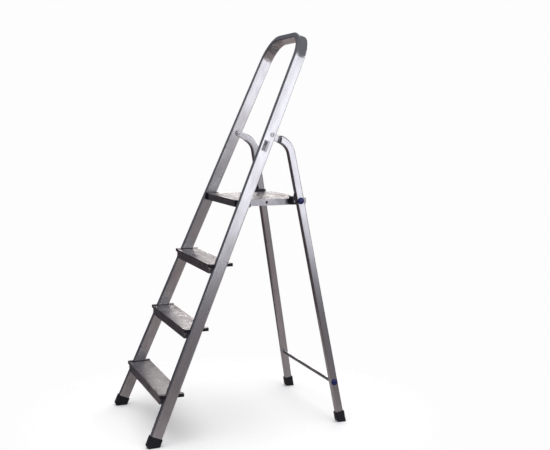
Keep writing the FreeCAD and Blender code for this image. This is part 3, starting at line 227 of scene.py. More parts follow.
def drawn_aluminium(name, uv_map, base="#dcdcdf", roughness=0.27):
    """Mill-finish drawn tube: hairline die marks along it, handling haze, a few rubs."""
    made, tree, out = new_material(name)
    place = add(tree, "ShaderNodeUVMap", uv_map=uv_map).outputs["UV"]
    stretch = add(tree, "ShaderNodeMapping", {"Vector": place, "Scale": (1400.0, 2.2, 1.0)}).outputs["Vector"]
    lines = add(tree, "ShaderNodeTexNoise", {"Vector": stretch, "Scale": 1.0, "Detail": 3.0}).outputs["Fac"]
    haze_place = add(tree, "ShaderNodeMapping", {"Vector": place, "Scale": (40.0, 12.0, 1.0)}).outputs["Vector"]
    haze = add(tree, "ShaderNodeTexNoise", {"Vector": haze_place, "Scale": 1.0, "Detail": 4.0,
                                            "Roughness": 0.5}).outputs["Fac"]
    colour = ramp(tree, haze, ((0.25, "#cccbce"), (0.52, base), (0.80, "#e4e4e6")))
    streak = ramp(tree, lines, ((0.30, "#dcdcdc"), (0.60, "#ffffff")))
    tinted = add(tree, "ShaderNodeMix", {"Factor": 0.55, 6: colour, 7: streak}, data_type="RGBA",
                 blend_type="MULTIPLY").outputs[2]
    rough = add(tree, "ShaderNodeMapRange", {"Value": haze, "From Min": 0.3, "From Max": 0.75,
                                             "To Min": roughness + 0.04, "To Max": roughness - 0.02})
    bump = add(tree, "ShaderNodeBump", {"Height": lines, "Strength": 0.12, "Distance": 0.01 * MM})
    way = add(tree, "ShaderNodeTangent", direction_type="UV_MAP", uv_map=uv_map).outputs["Tangent"]
    metal = add(tree, "ShaderNodeBsdfPrincipled", {
        "Base Color": tinted, "Metallic": 1.0, "Roughness": rough.outputs["Result"],
        "Anisotropic": 0.55, "Tangent": way, "Normal": bump.outputs["Normal"]})
    tree.links.new(metal.outputs[0], out.inputs["Surface"])
    return made


def box_outline(half_x, half_y, radius, corner_steps=5, side_steps=1):
    """Closed outline of a rounded rectangle, anticlockwise: four arcs, and evenly spaced points between them."""
    turn = np.linspace(0, 0.5 * math.pi, corner_steps + 1)
    parts = []
    for quarter, (sx, sy) in enumerate(((1, 1), (-1, 1), (-1, -1), (1, -1))):
        angle = turn + quarter * 0.5 * math.pi
        arc = np.stack((sx * (half_x - radius) + radius * np.cos(angle),
                        sy * (half_y - radius) + radius * np.sin(angle)), -1)
        parts.append(arc)
    outline = []
    for part, following in zip(parts, parts[1:] + parts[:1]):
        share = np.linspace(0, 1, side_steps + 1)[1:-1, None]
        outline += [part, part[-1] * (1 - share) + following[0] * share]
    return np.concatenate(outline)


def skin(name, rings, uv_map="", closed=False, sharp=40.0):
    """A mesh over a grid of points, ring by ring, with flat ends, or joined end to end when closed.

    The rings are reversed where the signed volume, the sum of p1.(p2 x p3)/6, is negative. The
    UV map holds lengths in metres: round a ring, and from the first ring on.
    """
    if closed:
        rings = np.concatenate((rings, rings[:1]))
    count, around = rings.shape[:2]
    first, second = rings[:-1], np.roll(rings, -1, axis=1)[:-1]
    third, fourth = np.roll(rings, -1, axis=1)[1:], rings[1:]
    middle = rings.mean((0, 1))
    volume = sum(np.einsum("ijk,ijk->", a - middle, np.cross(b - middle, c - middle))
                 for a, b, c in ((first, second, third), (first, third, fourth)))
    if volume < 0:
        rings = rings[:, ::-1]
    index = np.arange(count * around).reshape(count, around)
    after = np.roll(index, -1, axis=1)
    quads = np.stack((index[:-1], after[:-1], after[1:], index[1:]), -1).reshape(-1, 4)
    faces = quads.tolist() + ([] if closed else [index[0][::-1].tolist(), index[-1].tolist()])
    mesh = bpy.data.meshes.new(name)
    mesh.from_pydata(rings.reshape(-1, 3).tolist(), [], faces)
    if uv_map:
        step_round = np.linalg.norm(np.roll(rings, -1, axis=1) - rings, axis=2).mean(0)
        u = np.concatenate(([0.0], np.cumsum(step_round)))
        step_along = np.linalg.norm(np.diff(rings, axis=0), axis=2).mean(1)
        v = np.concatenate(([0.0], np.cumsum(step_along)))
        low_v, high_v = np.meshgrid(v[:-1], u[:-1], indexing="ij")[0], np.meshgrid(v[1:], u[:-1], indexing="ij")[0]
        low_u, high_u = np.meshgrid(v[:-1], u[:-1], indexing="ij")[1], np.meshgrid(v[:-1], u[1:], indexing="ij")[1]
        corners = np.stack((low_u, low_v, high_u, low_v, high_u, high_v, low_u, high_v), -1).reshape(-1, 2)
        rest = np.zeros((len(mesh.loops) - len(corners), 2))
        layer = mesh.uv_layers.new(name=uv_map)
        layer.data.foreach_set("uv", np.concatenate((corners, rest)).astype(np.float32).ravel())
    work = bmesh.new()
    work.from_mesh(mesh)
    bmesh.ops.remove_doubles(work, verts=work.verts, dist=1e-7)
    bmesh.ops.dissolve_degenerate(work, edges=work.edges, dist=1e-7)
    work.to_mesh(mesh)
    work.free()
    mesh.polygons.foreach_set("use_smooth", np.ones(len(mesh.polygons), bool))
    mesh.set_sharp_from_angle(angle=math.radians(sharp))
    return new_object(name, mesh)


def finished(piece, material, body, slot, *stands_for):
    """Give a piece its material and its body, and hide the CAD nodes it stands for. The slot argument is not used.
    """
    piece.data.materials.clear()
    piece.data.materials.append(material)
    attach(piece, body)
    if stands_for:
        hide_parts(*stands_for)
    return piece


def make_hoop():
    """Stations are (across, along, heading): straight, arc x = c + R cos a, y = c + R sin a, straight, arc,
    straight. Each ring is the box outline, its outer wall lowered by depth sin(pi s) cos^2(pi d / 2w)."""
    middle = FLOOR_HALF_WIDTH - 0.5 * STILE_WIDTH / math.cos(FRONT_SPLAY)
    top = HOOP_LENGTH - 0.5 * STILE_WIDTH
    turn = 0.5 * math.pi - FRONT_SPLAY
    reach = BEND_RADIUS * math.tan(0.5 * turn)
    corner = middle - top * math.tan(FRONT_SPLAY)
    centre = np.array((corner - reach, top - BEND_RADIUS))
    angle = np.linspace(FRONT_SPLAY, 0.5 * math.pi, 65)
    arc = centre + BEND_RADIUS * np.stack((np.cos(angle), np.sin(angle)), -1)
    arc_way = np.stack((np.cos(angle), np.sin(angle)), -1)
    arc_share = (angle - FRONT_SPLAY) / turn
    foot = np.array((middle - STILE_LIFT * math.tan(FRONT_SPLAY), STILE_LIFT))
    rise = np.linspace(0, 1, 40)[:-1, None]
    leg = foot * (1 - rise) + arc[0] * rise
    leg_way = np.repeat(arc_way[:1], len(leg), 0)
    half = np.concatenate((leg, arc))
    half_way = np.concatenate((leg_way, arc_way))
    half_share = np.concatenate((np.zeros(len(leg)), arc_share))
    flip = np.array((-1.0, 1.0))
    line = np.concatenate((half, half[::-1] * flip))
    way = np.concatenate((half_way, half_way[::-1] * flip))
    share = np.concatenate((half_share, half_share[::-1]))
    outline = box_outline(0.5 * STILE_WIDTH, 0.5 * STILE_DEPTH, STILE_CORNER, side_steps=16)
    out, deep = outline[None, :, 0], outline[None, :, 1]
    flat = 0.5 * STILE_DEPTH - STILE_CORNER
    across = np.where(np.abs(deep) < flat, np.cos(0.5 * math.pi * deep / flat) ** 2, 0.0)
    bend = np.sin(math.pi * share)[:, None]
    sunk = np.where(out > 0.49 * STILE_WIDTH, -SUNK_DEPTH * bend ** 1.2 * across, 0.0)
    gathered = RIPPLE_HEIGHT * bend * np.cos(2 * math.pi * RIPPLES * share)[:, None] * across
    out = out + sunk + np.where(out < -0.49 * STILE_WIDTH, gathered, 0.0)
    flat_x = line[:, None, 0] + out * way[:, None, 0]
    flat_y = line[:, None, 1] + out * way[:, None, 1]
    deep = deep + 0 * flat_x
    rings = np.stack((flat_x,
                      FRONT_LINE + flat_y * math.sin(FRONT_LEAN) + deep * math.cos(FRONT_LEAN),
                      flat_y * math.cos(FRONT_LEAN) - deep * math.sin(FRONT_LEAN)), -1)
    return skin("hoop", rings, "drawn")


stile_metal = drawn_aluminium("drawn_aluminium_stile", "drawn")
finished(make_hoop(), stile_metal, "front_frame", "stile_aluminium", "front_hoop")


# ---------------------------------------------------------------- treads
# Three extrusions with rounded ribs on the top and on the deep front wall, a short rear
# wall and a small web in each end. Two tubes under each top are swaged into the stiles.
TREAD_HEIGHT = 32 * MM
TREAD_WALL = 2 * MM
RIBBED_SKIN = 2.6 * MM
TREAD_FLANGE = 13 * MM
TREAD_REAR = 9 * MM
TREAD_GAP = 0.8 * MM
RIB_PITCH = 4 * MM
RIB_HEIGHT = 0.8 * MM
TUBE_PLACE = 10 * MM
TUBE_RADIUS = 7.5 * MM
TUBE_DROP = 9.6 * MM


def extruded_aluminium(name, base, low, high, roughness, run=(7.0, 900.0, 900.0)):
    """Extruded or brushed aluminium: die lines along the run, dull stains and shoe rubs on top."""
    made, tree, out = new_material(name)
    place = add(tree, "ShaderNodeTexCoord").outputs["Object"]
    stretch = add(tree, "ShaderNodeMapping", {"Vector": place, "Scale": run}).outputs["Vector"]
    lines = add(tree, "ShaderNodeTexNoise", {"Vector": stretch, "Scale": 1.0, "Detail": 4.0}).outputs["Fac"]
    stain = add(tree, "ShaderNodeTexNoise", {"Vector": place, "Scale": 22.0, "Detail": 4.0,
                                             "Roughness": 0.5}).outputs["Fac"]
    colour = ramp(tree, stain, ((0.28, low), (0.50, base), (0.74, high)))
    streak = ramp(tree, lines, ((0.28, "#c4c4c4"), (0.62, "#ffffff")))
    tinted = add(tree, "ShaderNodeMix", {"Factor": 0.7, 6: colour, 7: streak}, data_type="RGBA",
                 blend_type="MULTIPLY").outputs[2]
    rough = add(tree, "ShaderNodeMapRange", {"Value": stain, "From Min": 0.3, "From Max": 0.7,
                                             "To Min": roughness + 0.06, "To Max": roughness - 0.04})
    bump = add(tree, "ShaderNodeBump", {"Height": lines, "Strength": 0.12, "Distance": 0.01 * MM})
    metal = add(tree, "ShaderNodeBsdfPrincipled", {
        "Base Color": tinted, "Metallic": 1.0, "Roughness": rough.outputs["Result"],
        "Normal": bump.outputs["Normal"]})
    tree.links.new(metal.outputs[0], out.inputs["Surface"])
    return made


def ribs(length, count):
    """Depth below the surface along a ribbed length: rib height * clip(0.45 - 0.9 cos(2 pi s / pitch), 0, 1)."""
    spot = np.linspace(0, length, count)
    phase = (spot - 0.5 * (length - np.floor(length / RIB_PITCH) * RIB_PITCH)) / RIB_PITCH
    depth = RIB_HEIGHT * np.clip(0.45 - 0.9 * np.cos(2 * math.pi * phase), 0, 1)
    edge = np.minimum(spot, length - spot) < 0.6 * RIB_PITCH
    return spot, np.where(edge, 0.0, depth)


def extrusion(name, profile, low_x, high_x):
    """A closed profile of (y, z) points carried straight from one x to another."""
    across = np.array((low_x, high_x))[:, None]
    rings = np.stack((across + 0 * profile[None, :, 0], profile[None, :, 0] + 0 * across,
                      profile[None, :, 1] + 0 * across), -1)
    return skin(name, rings, sharp=50)


def tread_profile(front, back, top):
    """Round an extrusion: ribbed top, short rear wall, inside, front flange, ribbed front wall."""
    run, top_depth = ribs(back - front, 241)
    drop, front_depth = ribs(TREAD_HEIGHT, 97)
    bottom = top - TREAD_HEIGHT
    lip = bottom + TREAD_WALL
    over = np.stack((front + run, top - top_depth), -1)
    inside = np.array(((back, top - TREAD_REAR), (back - TREAD_WALL, top - TREAD_REAR),
                       (back - TREAD_WALL, top - RIBBED_SKIN),
                       (front + TREAD_WALL, top - RIBBED_SKIN), (front + TREAD_WALL, lip),
                       (front + TREAD_FLANGE, lip), (front + TREAD_FLANGE, bottom)))
    up = np.stack((front + front_depth, bottom + drop), -1)[:-1]
    return np.concatenate((over, inside, up))


def turned(name, profile, centre, closed=False, steps=40, turn=None):
    """A lathe surface about an axis along x: each (x, r) of the profile goes round to
    (x, y + r cos a, z + r sin a)."""
    profile = np.asarray(profile, float)
    angle = np.linspace(0, 2 * math.pi, steps, endpoint=False)[None, :]
    far, radius = profile[:, 0, None], profile[:, 1, None]
    points = np.stack((far + 0 * angle, radius * np.cos(angle), radius * np.sin(angle)), -1)
    if turn is not None:
        points = points @ np.array(turn).T
    return skin(name, points + np.asarray(centre), closed=closed)


ribbed_metal = extruded_aluminium("extruded_ribbed_aluminium", "#bdb8b9", "#9c9697", "#cfcbcc", 0.30)
tube_metal = extruded_aluminium("drawn_aluminium_tube", "#c6c6ca", "#aaaaae", "#d9d9dc", 0.30)
for number in (1, 2, 3):
    low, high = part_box("tread_%d" % number)
    reach = high[0] - 7 * MM
    tread = extrusion("tread_%d_channel" % number, tread_profile(low[1], high[1], high[2]),
                      TREAD_GAP - reach, reach - TREAD_GAP)
    finished(tread, ribbed_metal, "front_frame", "ribbed_aluminium", "tread_%d" % number)
    for side, word in SIDES:
        inner, outer = sorted((side * (reach - 3 * MM), side * (reach - 1.4 * MM)))
        web_front, web_low = low[1] + 0.5 * TREAD_WALL, low[2] + 0.5 * TREAD_WALL
        web_back, web_top = 0.5 * (low[1] + high[1]), high[2] - 9 * MM
        web = extrusion("tread_%d_web_%s" % (number, word), np.array((
            (web_front, web_low), (web_front + TREAD_FLANGE, web_low), (web_back, web_top - 6 * MM),
            (web_back, web_top), (web_front, web_top))), inner, outer)
        finished(web, ribbed_metal, "front_frame", "ribbed_aluminium")
    for word, offset in (("front", -TUBE_PLACE), ("rear", TUBE_PLACE)):
        bore = TUBE_RADIUS - 2 * MM
        centre = (0, 0.5 * (low[1] + high[1]) + offset, high[2] - TUBE_DROP)
        tube = turned("tread_%d_%s_tube" % (number, word), ((low[0], bore), (low[0], TUBE_RADIUS),
                      (high[0], TUBE_RADIUS), (high[0], bore)), centre, closed=True)
        finished(tube, tube_metal, "front_frame", "ribbed_aluminium")


# ---------------------------------------------------------------- tread caps, crossbar and its caps
# Glass-filled nylon end caps, moulded, with small radii; their arms hold the stile. The
# crossbar under the platform's nose is a plain box tube pushed into two such caps.
def moulded(name, base, scuffed, roughness, grain=0.022, spots=(0.55, 0.75)):
    """Moulded plastic: spark-eroded grain, grey scuffs, slightly uneven gloss."""
    made, tree, out = new_material(name)
    place = add(tree, "ShaderNodeTexCoord").outputs["Object"]
    fine = add(tree, "ShaderNodeTexNoise", {"Vector": place, "Scale": 2600.0, "Detail": 2.0}).outputs["Fac"]
    rubbed = add(tree, "ShaderNodeTexNoise", {"Vector": place, "Scale": 160.0, "Detail": 8.0,
                                              "Roughness": 0.72}).outputs["Fac"]
    cloud = add(tree, "ShaderNodeTexNoise", {"Vector": place, "Scale": 34.0, "Detail": 3.0}).outputs["Fac"]
    worn = add(tree, "ShaderNodeMapRange", {"Value": rubbed, "From Min": spots[0], "From Max": spots[1]})
    colour = ramp(tree, worn.outputs["Result"], ((0.0, base), (1.0, scuffed)))
    rough = add(tree, "ShaderNodeMapRange", {"Value": cloud, "From Min": 0.3, "From Max": 0.7,
                                             "To Min": roughness - 0.05, "To Max": roughness + 0.10})
    bump = add(tree, "ShaderNodeBump", {"Height": fine, "Strength": 0.45, "Distance": grain * MM})
    resin = add(tree, "ShaderNodeBsdfPrincipled", {"Base Color": colour, "Roughness": rough.outputs["Result"],
                                                   "Normal": bump.outputs["Normal"]})
    tree.links.new(resin.outputs[0], out.inputs["Surface"])
    return made


def softened(name, source, radius, steps=3):
    """A part's own faces, corners merged and flats joined, with a bevel of that radius on its edges."""
    mesh = nodes[source].data.copy()
    work = bmesh.new()
    work.from_mesh(mesh)
    bmesh.ops.remove_doubles(work, verts=work.verts, dist=3e-6)
    bmesh.ops.dissolve_degenerate(work, edges=work.edges, dist=2e-6)
    bmesh.ops.dissolve_limit(work, angle_limit=math.radians(0.6), verts=work.verts, edges=work.edges)
    work.to_mesh(mesh)
    work.free()
    mesh.polygons.foreach_set("use_smooth", np.ones(len(mesh.polygons), bool))
    made = new_object(name, mesh)
    edge = made.modifiers.new("rounded edges", "BEVEL")
    edge.width = radius
    edge.segments = steps
    edge.limit_method = "ANGLE"
    edge.angle_limit = math.radians(32)
    flat = made.modifiers.new("flat faces", "WEIGHTED_NORMAL")
    flat.keep_sharp = True
    return made


black_nylon = moulded("black_glass_filled_nylon", "#0c0d1a", "#272938", 0.36)
bar_metal = extruded_aluminium("brushed_flat_bar", "#cfcfd4", "#b9b9be", "#dedee2", 0.27)
for number in (1, 2, 3):
    for side, word in SIDES:
        source = "tread_cap_%d_%s" % (number, word)
        finished(softened(source + "_moulding", source, 0.7 * MM), black_nylon, "front_frame",
                 "black_plastic", source)
finished(softened("crossbar", "platform_support", 0.5 * MM), bar_metal, "front_frame",
         "bar_aluminium", "platform_support")
for side, word in SIDES:
    source = "support_cap_" + word
    finished(softened(source + "_moulding", source, 0.7 * MM), black_nylon, "front_frame",
             "black_plastic", source)


# ---------------------------------------------------------------- rear legs
# A rounded drawn tube, bent forward at the top. Its last stretch is pressed flat into a
# tongue with a round tip, which turns on the hollow rivet inside the stile.
REAR_LEAN = math.radians(10.0)
REAR_SPLAY = math.radians(3.6)
LEG_OFFSET = 60 * MM
LEG_WIDTH = 21 * MM
LEG_DEPTH = 28 * MM
LEG_CORNER = 5 * MM
LEG_TURN = math.radians(53.0)
LEG_BEND = 66 * MM
LEG_LIFT = 9 * MM
TONGUE_WALL = 3 * MM
TONGUE_TIP = 11 * MM
TONGUE_STEP = 9 * MM
TONGUE_EDGE = 2 * MM
TONGUE_GAP = 1 * MM
stile_across = FLOOR_HALF_WIDTH - pivot.z / math.cos(FRONT_LEAN) * math.tan(FRONT_SPLAY)
TONGUE_FACE = stile_across - STILE_WIDTH / math.cos(FRONT_SPLAY) - TONGUE_GAP


def leg_turned(side):
    """Rows of the turn from a leg's frame to the ladder's: lean about x times splay about y."""
    lean = np.array(((1, 0, 0), (0, math.cos(REAR_LEAN), -math.sin(REAR_LEAN)),
                     (0, math.sin(REAR_LEAN), math.cos(REAR_LEAN))))
    c, s = math.cos(-side * REAR_SPLAY), math.sin(-side * REAR_SPLAY)
    return lean @ np.array(((c, 0, s), (0, 1, 0), (-s, 0, c)))


def leg_level(height):
    """Local z, on a leg's centre line, of a height above the floor."""
    rise = LEG_OFFSET * math.sin(REAR_LEAN)
    return (height - pivot.z - rise) / (math.cos(REAR_LEAN) * math.cos(REAR_SPLAY))


def make_leg(side):
    """Stations: straight, arc (y, z) = c + R (cos a, sin a), straight to the pivot. The box outline's outer
    face comes down to the tongue by s^2 (3 - 2 s), sooner on the inside of the bend, and the tip's half
    width is sqrt(r^2 - d^2)."""
    half_turn = LEG_BEND * math.tan(0.5 * LEG_TURN)
    bend_low = -LEG_OFFSET / math.tan(LEG_TURN) - half_turn
    to_pivot = LEG_OFFSET / math.sin(LEG_TURN) - half_turn
    z = np.linspace(leg_level(LEG_LIFT), bend_low, 60)[:-1]
    a = np.linspace(0, LEG_TURN, 40)
    left = np.concatenate((np.linspace(to_pivot, to_pivot - TONGUE_STEP, 14)[1:],
                           np.linspace(to_pivot - TONGUE_STEP, 0, 8)[1:],
                           -TONGUE_TIP * np.sin(np.linspace(0, 0.5 * math.pi, 14))[1:] * 0.9995))
    end = np.array((math.sin(LEG_TURN), -math.cos(LEG_TURN)))
    line = np.concatenate((np.stack((LEG_OFFSET + 0 * z, z), -1),
                           np.stack((LEG_OFFSET - LEG_BEND + LEG_BEND * np.cos(a),
                                     bend_low + LEG_BEND * np.sin(a)), -1), left[:, None] * end))
    out = np.concatenate((0 * z, a, LEG_TURN + 0 * left))
    away = np.concatenate((to_pivot + TONGUE_STEP + 0 * z, to_pivot + TONGUE_STEP + 0 * a, left))
    unit = box_outline(2.0, 2.0, 1.0, side_steps=4)
    core = np.clip(unit, -1, 1)
    round_off = unit - core
    reach = TONGUE_EDGE + (TONGUE_STEP - TONGUE_EDGE) * 0.5 * (1 - core[None, :, 1])
    pressed = np.clip((away[:, None] - (to_pivot - TONGUE_STEP)) / reach, 0, 1)
    pressed = pressed * pressed * (3 - 2 * pressed)
    thick = TONGUE_WALL + (LEG_WIDTH - TONGUE_WALL) * pressed
    step = pressed.mean(1)
    plate = TONGUE_TIP + (0.5 * LEG_DEPTH - 1 * MM - TONGUE_TIP) * np.clip(away / (to_pivot - TONGUE_STEP), 0, 1)
    plate = np.where(away < 0, np.sqrt(np.maximum(TONGUE_TIP ** 2 - away ** 2, 1e-9)), plate)
    deep = plate + (0.5 * LEG_DEPTH - plate) * step
    corner = np.minimum(np.minimum(1.2 * MM + (LEG_CORNER - 1.2 * MM) * step, 0.49 * thick.min(1)), 0.98 * deep)
    half_x, half_y = 0.5 * thick, deep[:, None]
    across = core[None, :, 0] * (half_x - corner[:, None]) + round_off[None, :, 0] * corner[:, None] + half_x
    across = side * (across - TONGUE_WALL)
    normal = core[None, :, 1] * (half_y - corner[:, None]) + round_off[None, :, 1] * corner[:, None]
    rings = np.stack((across, line[:, None, 0] + normal * np.cos(out)[:, None],
                      line[:, None, 1] + normal * np.sin(out)[:, None]), -1)
    rings = rings @ leg_turned(side).T + np.array((side * TONGUE_FACE, pivot.y, pivot.z))
    return skin("rear_leg_%s_tube" % ("right" if side > 0 else "left"), rings, "drawn")


leg_metal = drawn_aluminium("drawn_aluminium_leg", "drawn", base="#d6d6da", roughness=0.29)
for side, word in SIDES:
    finished(make_leg(side), leg_metal, "rear_frame", "leg_aluminium", "rear_leg_" + word)


# ---------------------------------------------------------------- pivots
# Hollow rivets of bright zinc-plated steel through stile and tongue, rolled over at both
# ends, with a washer on the inside; their bores are painted dark as shade down the hole.
def plated_steel(name, base, roughness, dulled="#a9a9ac"):
    """Zinc plate: fine crystalline mottling, slight dulling."""
    made, tree, out = new_material(name)
    place = add(tree, "ShaderNodeTexCoord").outputs["Object"]
    cells = add(tree, "ShaderNodeTexVoronoi", {"Vector": place, "Scale": 1400.0}).outputs["Distance"]
    dull = add(tree, "ShaderNodeTexNoise", {"Vector": place, "Scale": 300.0, "Detail": 4.0}).outputs["Fac"]
    colour = ramp(tree, dull, ((0.3, dulled), (0.6, base)))
    rough = add(tree, "ShaderNodeMapRange", {"Value": cells, "From Min": 0.0, "From Max": 1.0,
                                             "To Min": roughness, "To Max": roughness + 0.15})
    metal = add(tree, "ShaderNodeBsdfPrincipled", {"Base Color": colour, "Metallic": 1.0,
                                                   "Roughness": rough.outputs["Result"]})
    tree.links.new(metal.outputs[0], out.inputs["Surface"])
    return made


def facing(side, start, offsets):
    """(x, r) points from (distance outwards, radius) pairs in mm, mirrored on the left."""
    return [(side * (start + far * MM), radius * MM) for far, radius in offsets]


zinc_steel = plated_steel("zinc_plated_steel", "#dcdce0", 0.22)
# Dark steel: the platform's bar rivets, and painted shade inside the pivot rivets' bores.
black_steel_and_bore_shade = plated_steel("black_oxide_steel_and_painted_bore_shade", "#3b3b42", 0.38, "#26262b")
for side, word in SIDES:
    low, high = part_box("pivot_rivet_" + word)
    start, end = sorted((abs(low[0]), abs(high[0])))
    length = (end - start) / MM
    shape = facing(side, start, ((9.0, 0.1), (9.0, 2.6), (0.4, 2.6), (0.0, 3.0), (0.0, 6.2), (0.5, 7.0),
                                 (1.6, 7.0), (1.6, 4.0), (length - 1.6, 4.0), (length - 1.6, 8.0),
                                 (length - 0.9, 8.0), (length - 0.4, 7.7), (length, 6.8), (length, 4.2),
                                 (length - 0.3, 3.2), (length - 1.0, 2.6), (length - 9.0, 2.6),
                                 (length - 9.0, 0.1)))
    rivet = finished(turned("hollow_rivet_" + word, shape, (0, pivot.y, pivot.z)), zinc_steel,
                     "front_frame", "rivet_steel", "pivot_rivet_" + word)
    # Faces within 2.65 mm of the axis, the walls and floor of the bore, take the dark steel as painted shade down
    # the hollow rivet.
    rivet.data.materials.append(black_steel_and_bore_shade)
    middle = np.empty(3 * len(rivet.data.polygons), np.float32)
    rivet.data.polygons.foreach_get("center", middle)
    off = np.hypot(middle[1::3] - pivot.y, middle[2::3] - pivot.z)
    rivet.data.polygons.foreach_set("material_index", (off < 2.65 * MM).astype(np.int32))
    low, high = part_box("pivot_washer_" + word)
    start = min(abs(low[0]), abs(high[0]))
    shape = facing(side, start, ((0.0, 4.2), (0.0, 9.1), (0.4, 9.5), (1.2, 9.5), (1.6, 9.1), (1.6, 4.2)))
    finished(turned("washer_" + word, shape, (0, pivot.y, pivot.z), closed=True), zinc_steel,
             "front_frame", "rivet_steel", "pivot_washer_" + word)


# ---------------------------------------------------------------- brace and axle, with their caps
# Two plain tubes between the rear legs. The lower one braces them and the upper one is the
# platform's axle; blue moulded caps snap into their ends.
finished(softened("brace_tube", "rear_brace", 0.3 * MM), tube_metal, "rear_frame",
         "tube_aluminium", "rear_brace")
finished(softened("axle_tube", "platform_axle", 0.3 * MM), tube_metal, "rear_frame",
         "tube_aluminium", "platform_axle")
blue_nylon = moulded("blue_moulded_nylon", "#131c58", "#2d3770", 0.28, grain=0.012, spots=(0.62, 0.85))


def make_dome(name, side, level):
    """A lathe surface: a short rim, then height = h sqrt(1 - (r / R)^2) over the rest."""
    r = np.cos(np.linspace(0, 0.5 * math.pi, 16)) * 11.4 * MM
    crown = 1.0 * MM + 3.5 * MM * np.sqrt(np.maximum(1 - (r / (11.4 * MM)) ** 2, 0))
    far = np.concatenate(((0.0, 0.6 * MM), crown))
    radius = np.concatenate(((12 * MM, 12 * MM), np.maximum(r, 0.05 * MM)))
    face = side * (LEG_WIDTH - TONGUE_WALL + far)
    turn = leg_turned(side)
    centre = turn @ np.array((0, LEG_OFFSET, level)) + np.array((side * TONGUE_FACE, pivot.y, pivot.z))
    return turned(name, np.stack((face, radius), -1), centre, turn=turn)


for kind in ("axle_cap", "brace_cap"):
    for side, word in SIDES:
        low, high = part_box("%s_%s" % (kind, word))
        source = "%s_%s" % (kind, word)
        level = leg_level(0.5 * (low[2] + high[2]))
        finished(make_dome(source + "_dome", side, level), blue_nylon, "rear_frame", "blue_plastic", source)


# ---------------------------------------------------------------- shoes
# Soft black rubber-like shoes pushed over the tube ends; a ribbed sole and a rounded toe.
shoe_rubber = moulded("black_moulded_rubber", "#0b0b16", "#2a2b36", 0.50, grain=0.05, spots=(0.52, 0.76))
for kind, body in (("front_shoe", "front_frame"), ("rear_shoe", "rear_frame")):
    for side, word in SIDES:
        source = "%s_%s" % (kind, word)
        finished(softened(source + "_moulding", source, 0.6 * MM), shoe_rubber, body, "shoe_rubber", source)


# ---------------------------------------------------------------- label
# A blank printed film on the right stile, below the pivot: a pale ground with a dark field.
LABEL_PLACE = 1089.5 * MM
LABEL_SHIFT = 3 * MM


def printed_film(name, uv_map):
    """Satin film with plain printed fields, each a pair of limits on the piece's own UV."""
    made, tree, out = new_material(name)
    place = add(tree, "ShaderNodeUVMap", uv_map=uv_map).outputs["UV"]
    parts = add(tree, "ShaderNodeSeparateXYZ", {"Vector": place})

    def within(value, low, high):
        above = add(tree, "ShaderNodeMath", {0: value, 1: low}, operation="GREATER_THAN").outputs[0]
        below = add(tree, "ShaderNodeMath", {0: value, 1: high}, operation="LESS_THAN").outputs[0]
        return add(tree, "ShaderNodeMath", {0: above, 1: below}, operation="MULTIPLY").outputs[0]

    def field(u_limits, v_limits):
        inside = within(parts.outputs["X"], *u_limits), within(parts.outputs["Y"], *v_limits)
        return add(tree, "ShaderNodeMath", {0: inside[0], 1: inside[1]}, operation="MULTIPLY").outputs[0]

    speck = add(tree, "ShaderNodeTexNoise", {"Vector": place, "Scale": 900.0, "Detail": 3.0}).outputs["Fac"]
    ground = ramp(tree, speck, ((0.3, "#bdbcc0"), (0.7, "#d0cfd3")))
    grey = add(tree, "ShaderNodeMix", {"Factor": field((0.08, 0.66), (0.06, 0.94)), 6: ground,
                                       7: linear("#85848a")}, data_type="RGBA").outputs[2]
    dark = add(tree, "ShaderNodeMix", {"Factor": field((0.20, 0.60), (0.52, 0.90)), 6: grey,
                                       7: linear("#4b4a50")}, data_type="RGBA").outputs[2]
    film = add(tree, "ShaderNodeBsdfPrincipled", {"Base Color": dark, "Roughness": 0.38, "Coat Weight": 0.3})
    tree.links.new(film.outputs[0], out.inputs["Surface"])
    return made


def make_label():
    """The label's own faces with a UV map: u across the stile and v up it, 0 to 1 over the label."""
    made = softened("blank_label", "label_plate", 0.08 * MM, 1)
    mesh = made.data
    count = len(mesh.vertices)
    flat = np.empty(3 * count, np.float32)
    mesh.vertices.foreach_get("co", flat)
    points = flat.reshape(-1, 3).astype(float)
    up = np.array((0, math.sin(FRONT_LEAN), math.cos(FRONT_LEAN)))
    back = np.array((0, math.cos(FRONT_LEAN), -math.sin(FRONT_LEAN)))
    over = np.stack((points @ back, points @ up), -1)
    over = (over - over.min(0)) / (over.max(0) - over.min(0))
    corner = np.empty(len(mesh.loops), np.int32)
    mesh.loops.foreach_get("vertex_index", corner)
    layer = mesh.uv_layers.new(name="film")
    layer.data.foreach_set("uv", over[corner].astype(np.float32).ravel())
    return made


finished(make_label(), printed_film("printed_film", "film"), "front_frame", "label_film", "label_plate")


# ---------------------------------------------------------------- platform
# A ribbed nose extrusion that hooks over the crossbar, a ribbed deck with stiffeners, flat
# side bars that carry the axle, and moulded corners; each bar is held by one rivet.
NOSE_WALL = 3 * MM
NOSE_REAR_DROP = 8 * MM
DECK_WEB = 2 * MM
STIFFENER_HEIGHT = 9 * MM
STIFFENER_SHARES = (0.22, 0.48, 0.74)
axle = Vector(frame["joints"][1]["pos_m"])


def nose_profile(front, back, bottom, top):
    """Round the nose: ribbed top, short rear edge, underside, front wall, ribbed front."""
    run, top_depth = ribs(back - front, 141)
    rise, front_depth = ribs(top - bottom, 75)
    skin_low = top - RIBBED_SKIN
    over = np.stack((front + run, top - top_depth), -1)
    inside = np.array(((back, skin_low - NOSE_REAR_DROP), (back - DECK_WEB, skin_low - NOSE_REAR_DROP),
                       (back - DECK_WEB, skin_low), (front + NOSE_WALL, skin_low),
                       (front + NOSE_WALL, bottom)))
    up = np.stack((front + front_depth, bottom + rise), -1)[:-1]
    return np.concatenate((over, inside, up))


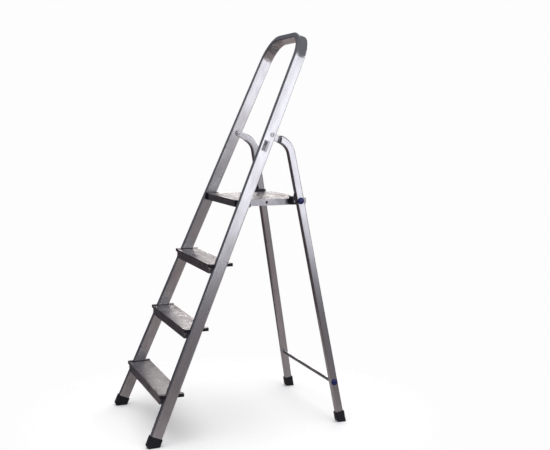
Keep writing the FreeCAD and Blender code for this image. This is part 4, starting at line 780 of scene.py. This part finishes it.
def deck_profile(front, back, bottom, top):
    """Round the deck: ribbed top, turned-down rear edge, underside with three stiffeners."""
    run, depth = ribs(back - front, 661)
    skin_low = top - RIBBED_SKIN
    under = [(back, bottom), (back - DECK_WEB, bottom), (back - DECK_WEB, skin_low)]
    for share in STIFFENER_SHARES:
        spot = axle.y - share * (axle.y - front)
        under += [(spot + DECK_WEB, skin_low), (spot + DECK_WEB, skin_low - STIFFENER_HEIGHT),
                  (spot, skin_low - STIFFENER_HEIGHT), (spot, skin_low)]
    return np.concatenate((np.stack((front + run, top - depth), -1), under, ((front, skin_low),)))


for name, source, profile in (("nose_extrusion", "platform_nose", nose_profile),
                              ("deck_extrusion", "platform_deck", deck_profile)):
    low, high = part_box(source)
    piece = extrusion(name, profile(low[1], high[1], low[2], high[2]), low[0], high[0])
    finished(piece, ribbed_metal, "platform", "ribbed_aluminium", source)
for side, word in SIDES:
    source = "platform_corner_" + word
    finished(softened(source + "_moulding", source, 0.5 * MM), black_nylon, "platform", "black_plastic", source)
    source = "platform_bar_" + word
    finished(softened("side_bar_" + word, source, 0.35 * MM), bar_metal, "platform", "bar_aluminium", source)

low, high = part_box("platform_rivets")
spot = (0, 0.5 * (low[1] + high[1]), 0.5 * (low[2] + high[2]))
for side, word in SIDES:
    shape = facing(side, high[0], ((-5.4, 0.1), (-5.4, 3.0), (-4.8, 3.8), (-4.2, 3.8), (-4.2, 2.4), (-1.2, 2.4),
                                   (-1.2, 4.8), (-0.7, 4.5), (-0.25, 3.2), (-0.05, 1.7), (0.0, 0.1)))
    finished(turned("bar_rivet_" + word, shape, spot), black_steel_and_bore_shade, "platform", "rivet_steel",
             *(("platform_rivets",) if side > 0 else ()))


# ---------------------------------------------------------------- hinge blocks
# Black mouldings on the rear legs that the platform turns between; a screw with a
# recessed head holds each to its leg.
for side, word in SIDES:
    source = "hinge_block_" + word
    finished(softened(source + "_moulding", source, 0.8 * MM), black_nylon, "rear_frame", "black_plastic", source)
low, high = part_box("hinge_screws")
spot = (0, 0.5 * (low[1] + high[1]), 0.5 * (low[2] + high[2]))
for side, word in SIDES:
    shape = facing(side, high[0], ((-9.8, 0.1), (-9.4, 1.5), (-1.8, 1.5), (-1.8, 3.0), (-0.7, 2.9), (-0.1, 2.2),
                                   (-0.05, 1.3), (-0.9, 1.1), (-1.0, 0.1)))
    finished(turned("block_screw_" + word, shape, spot), zinc_steel, "rear_frame", "rivet_steel",
             *(("hinge_screws",) if side > 0 else ()))
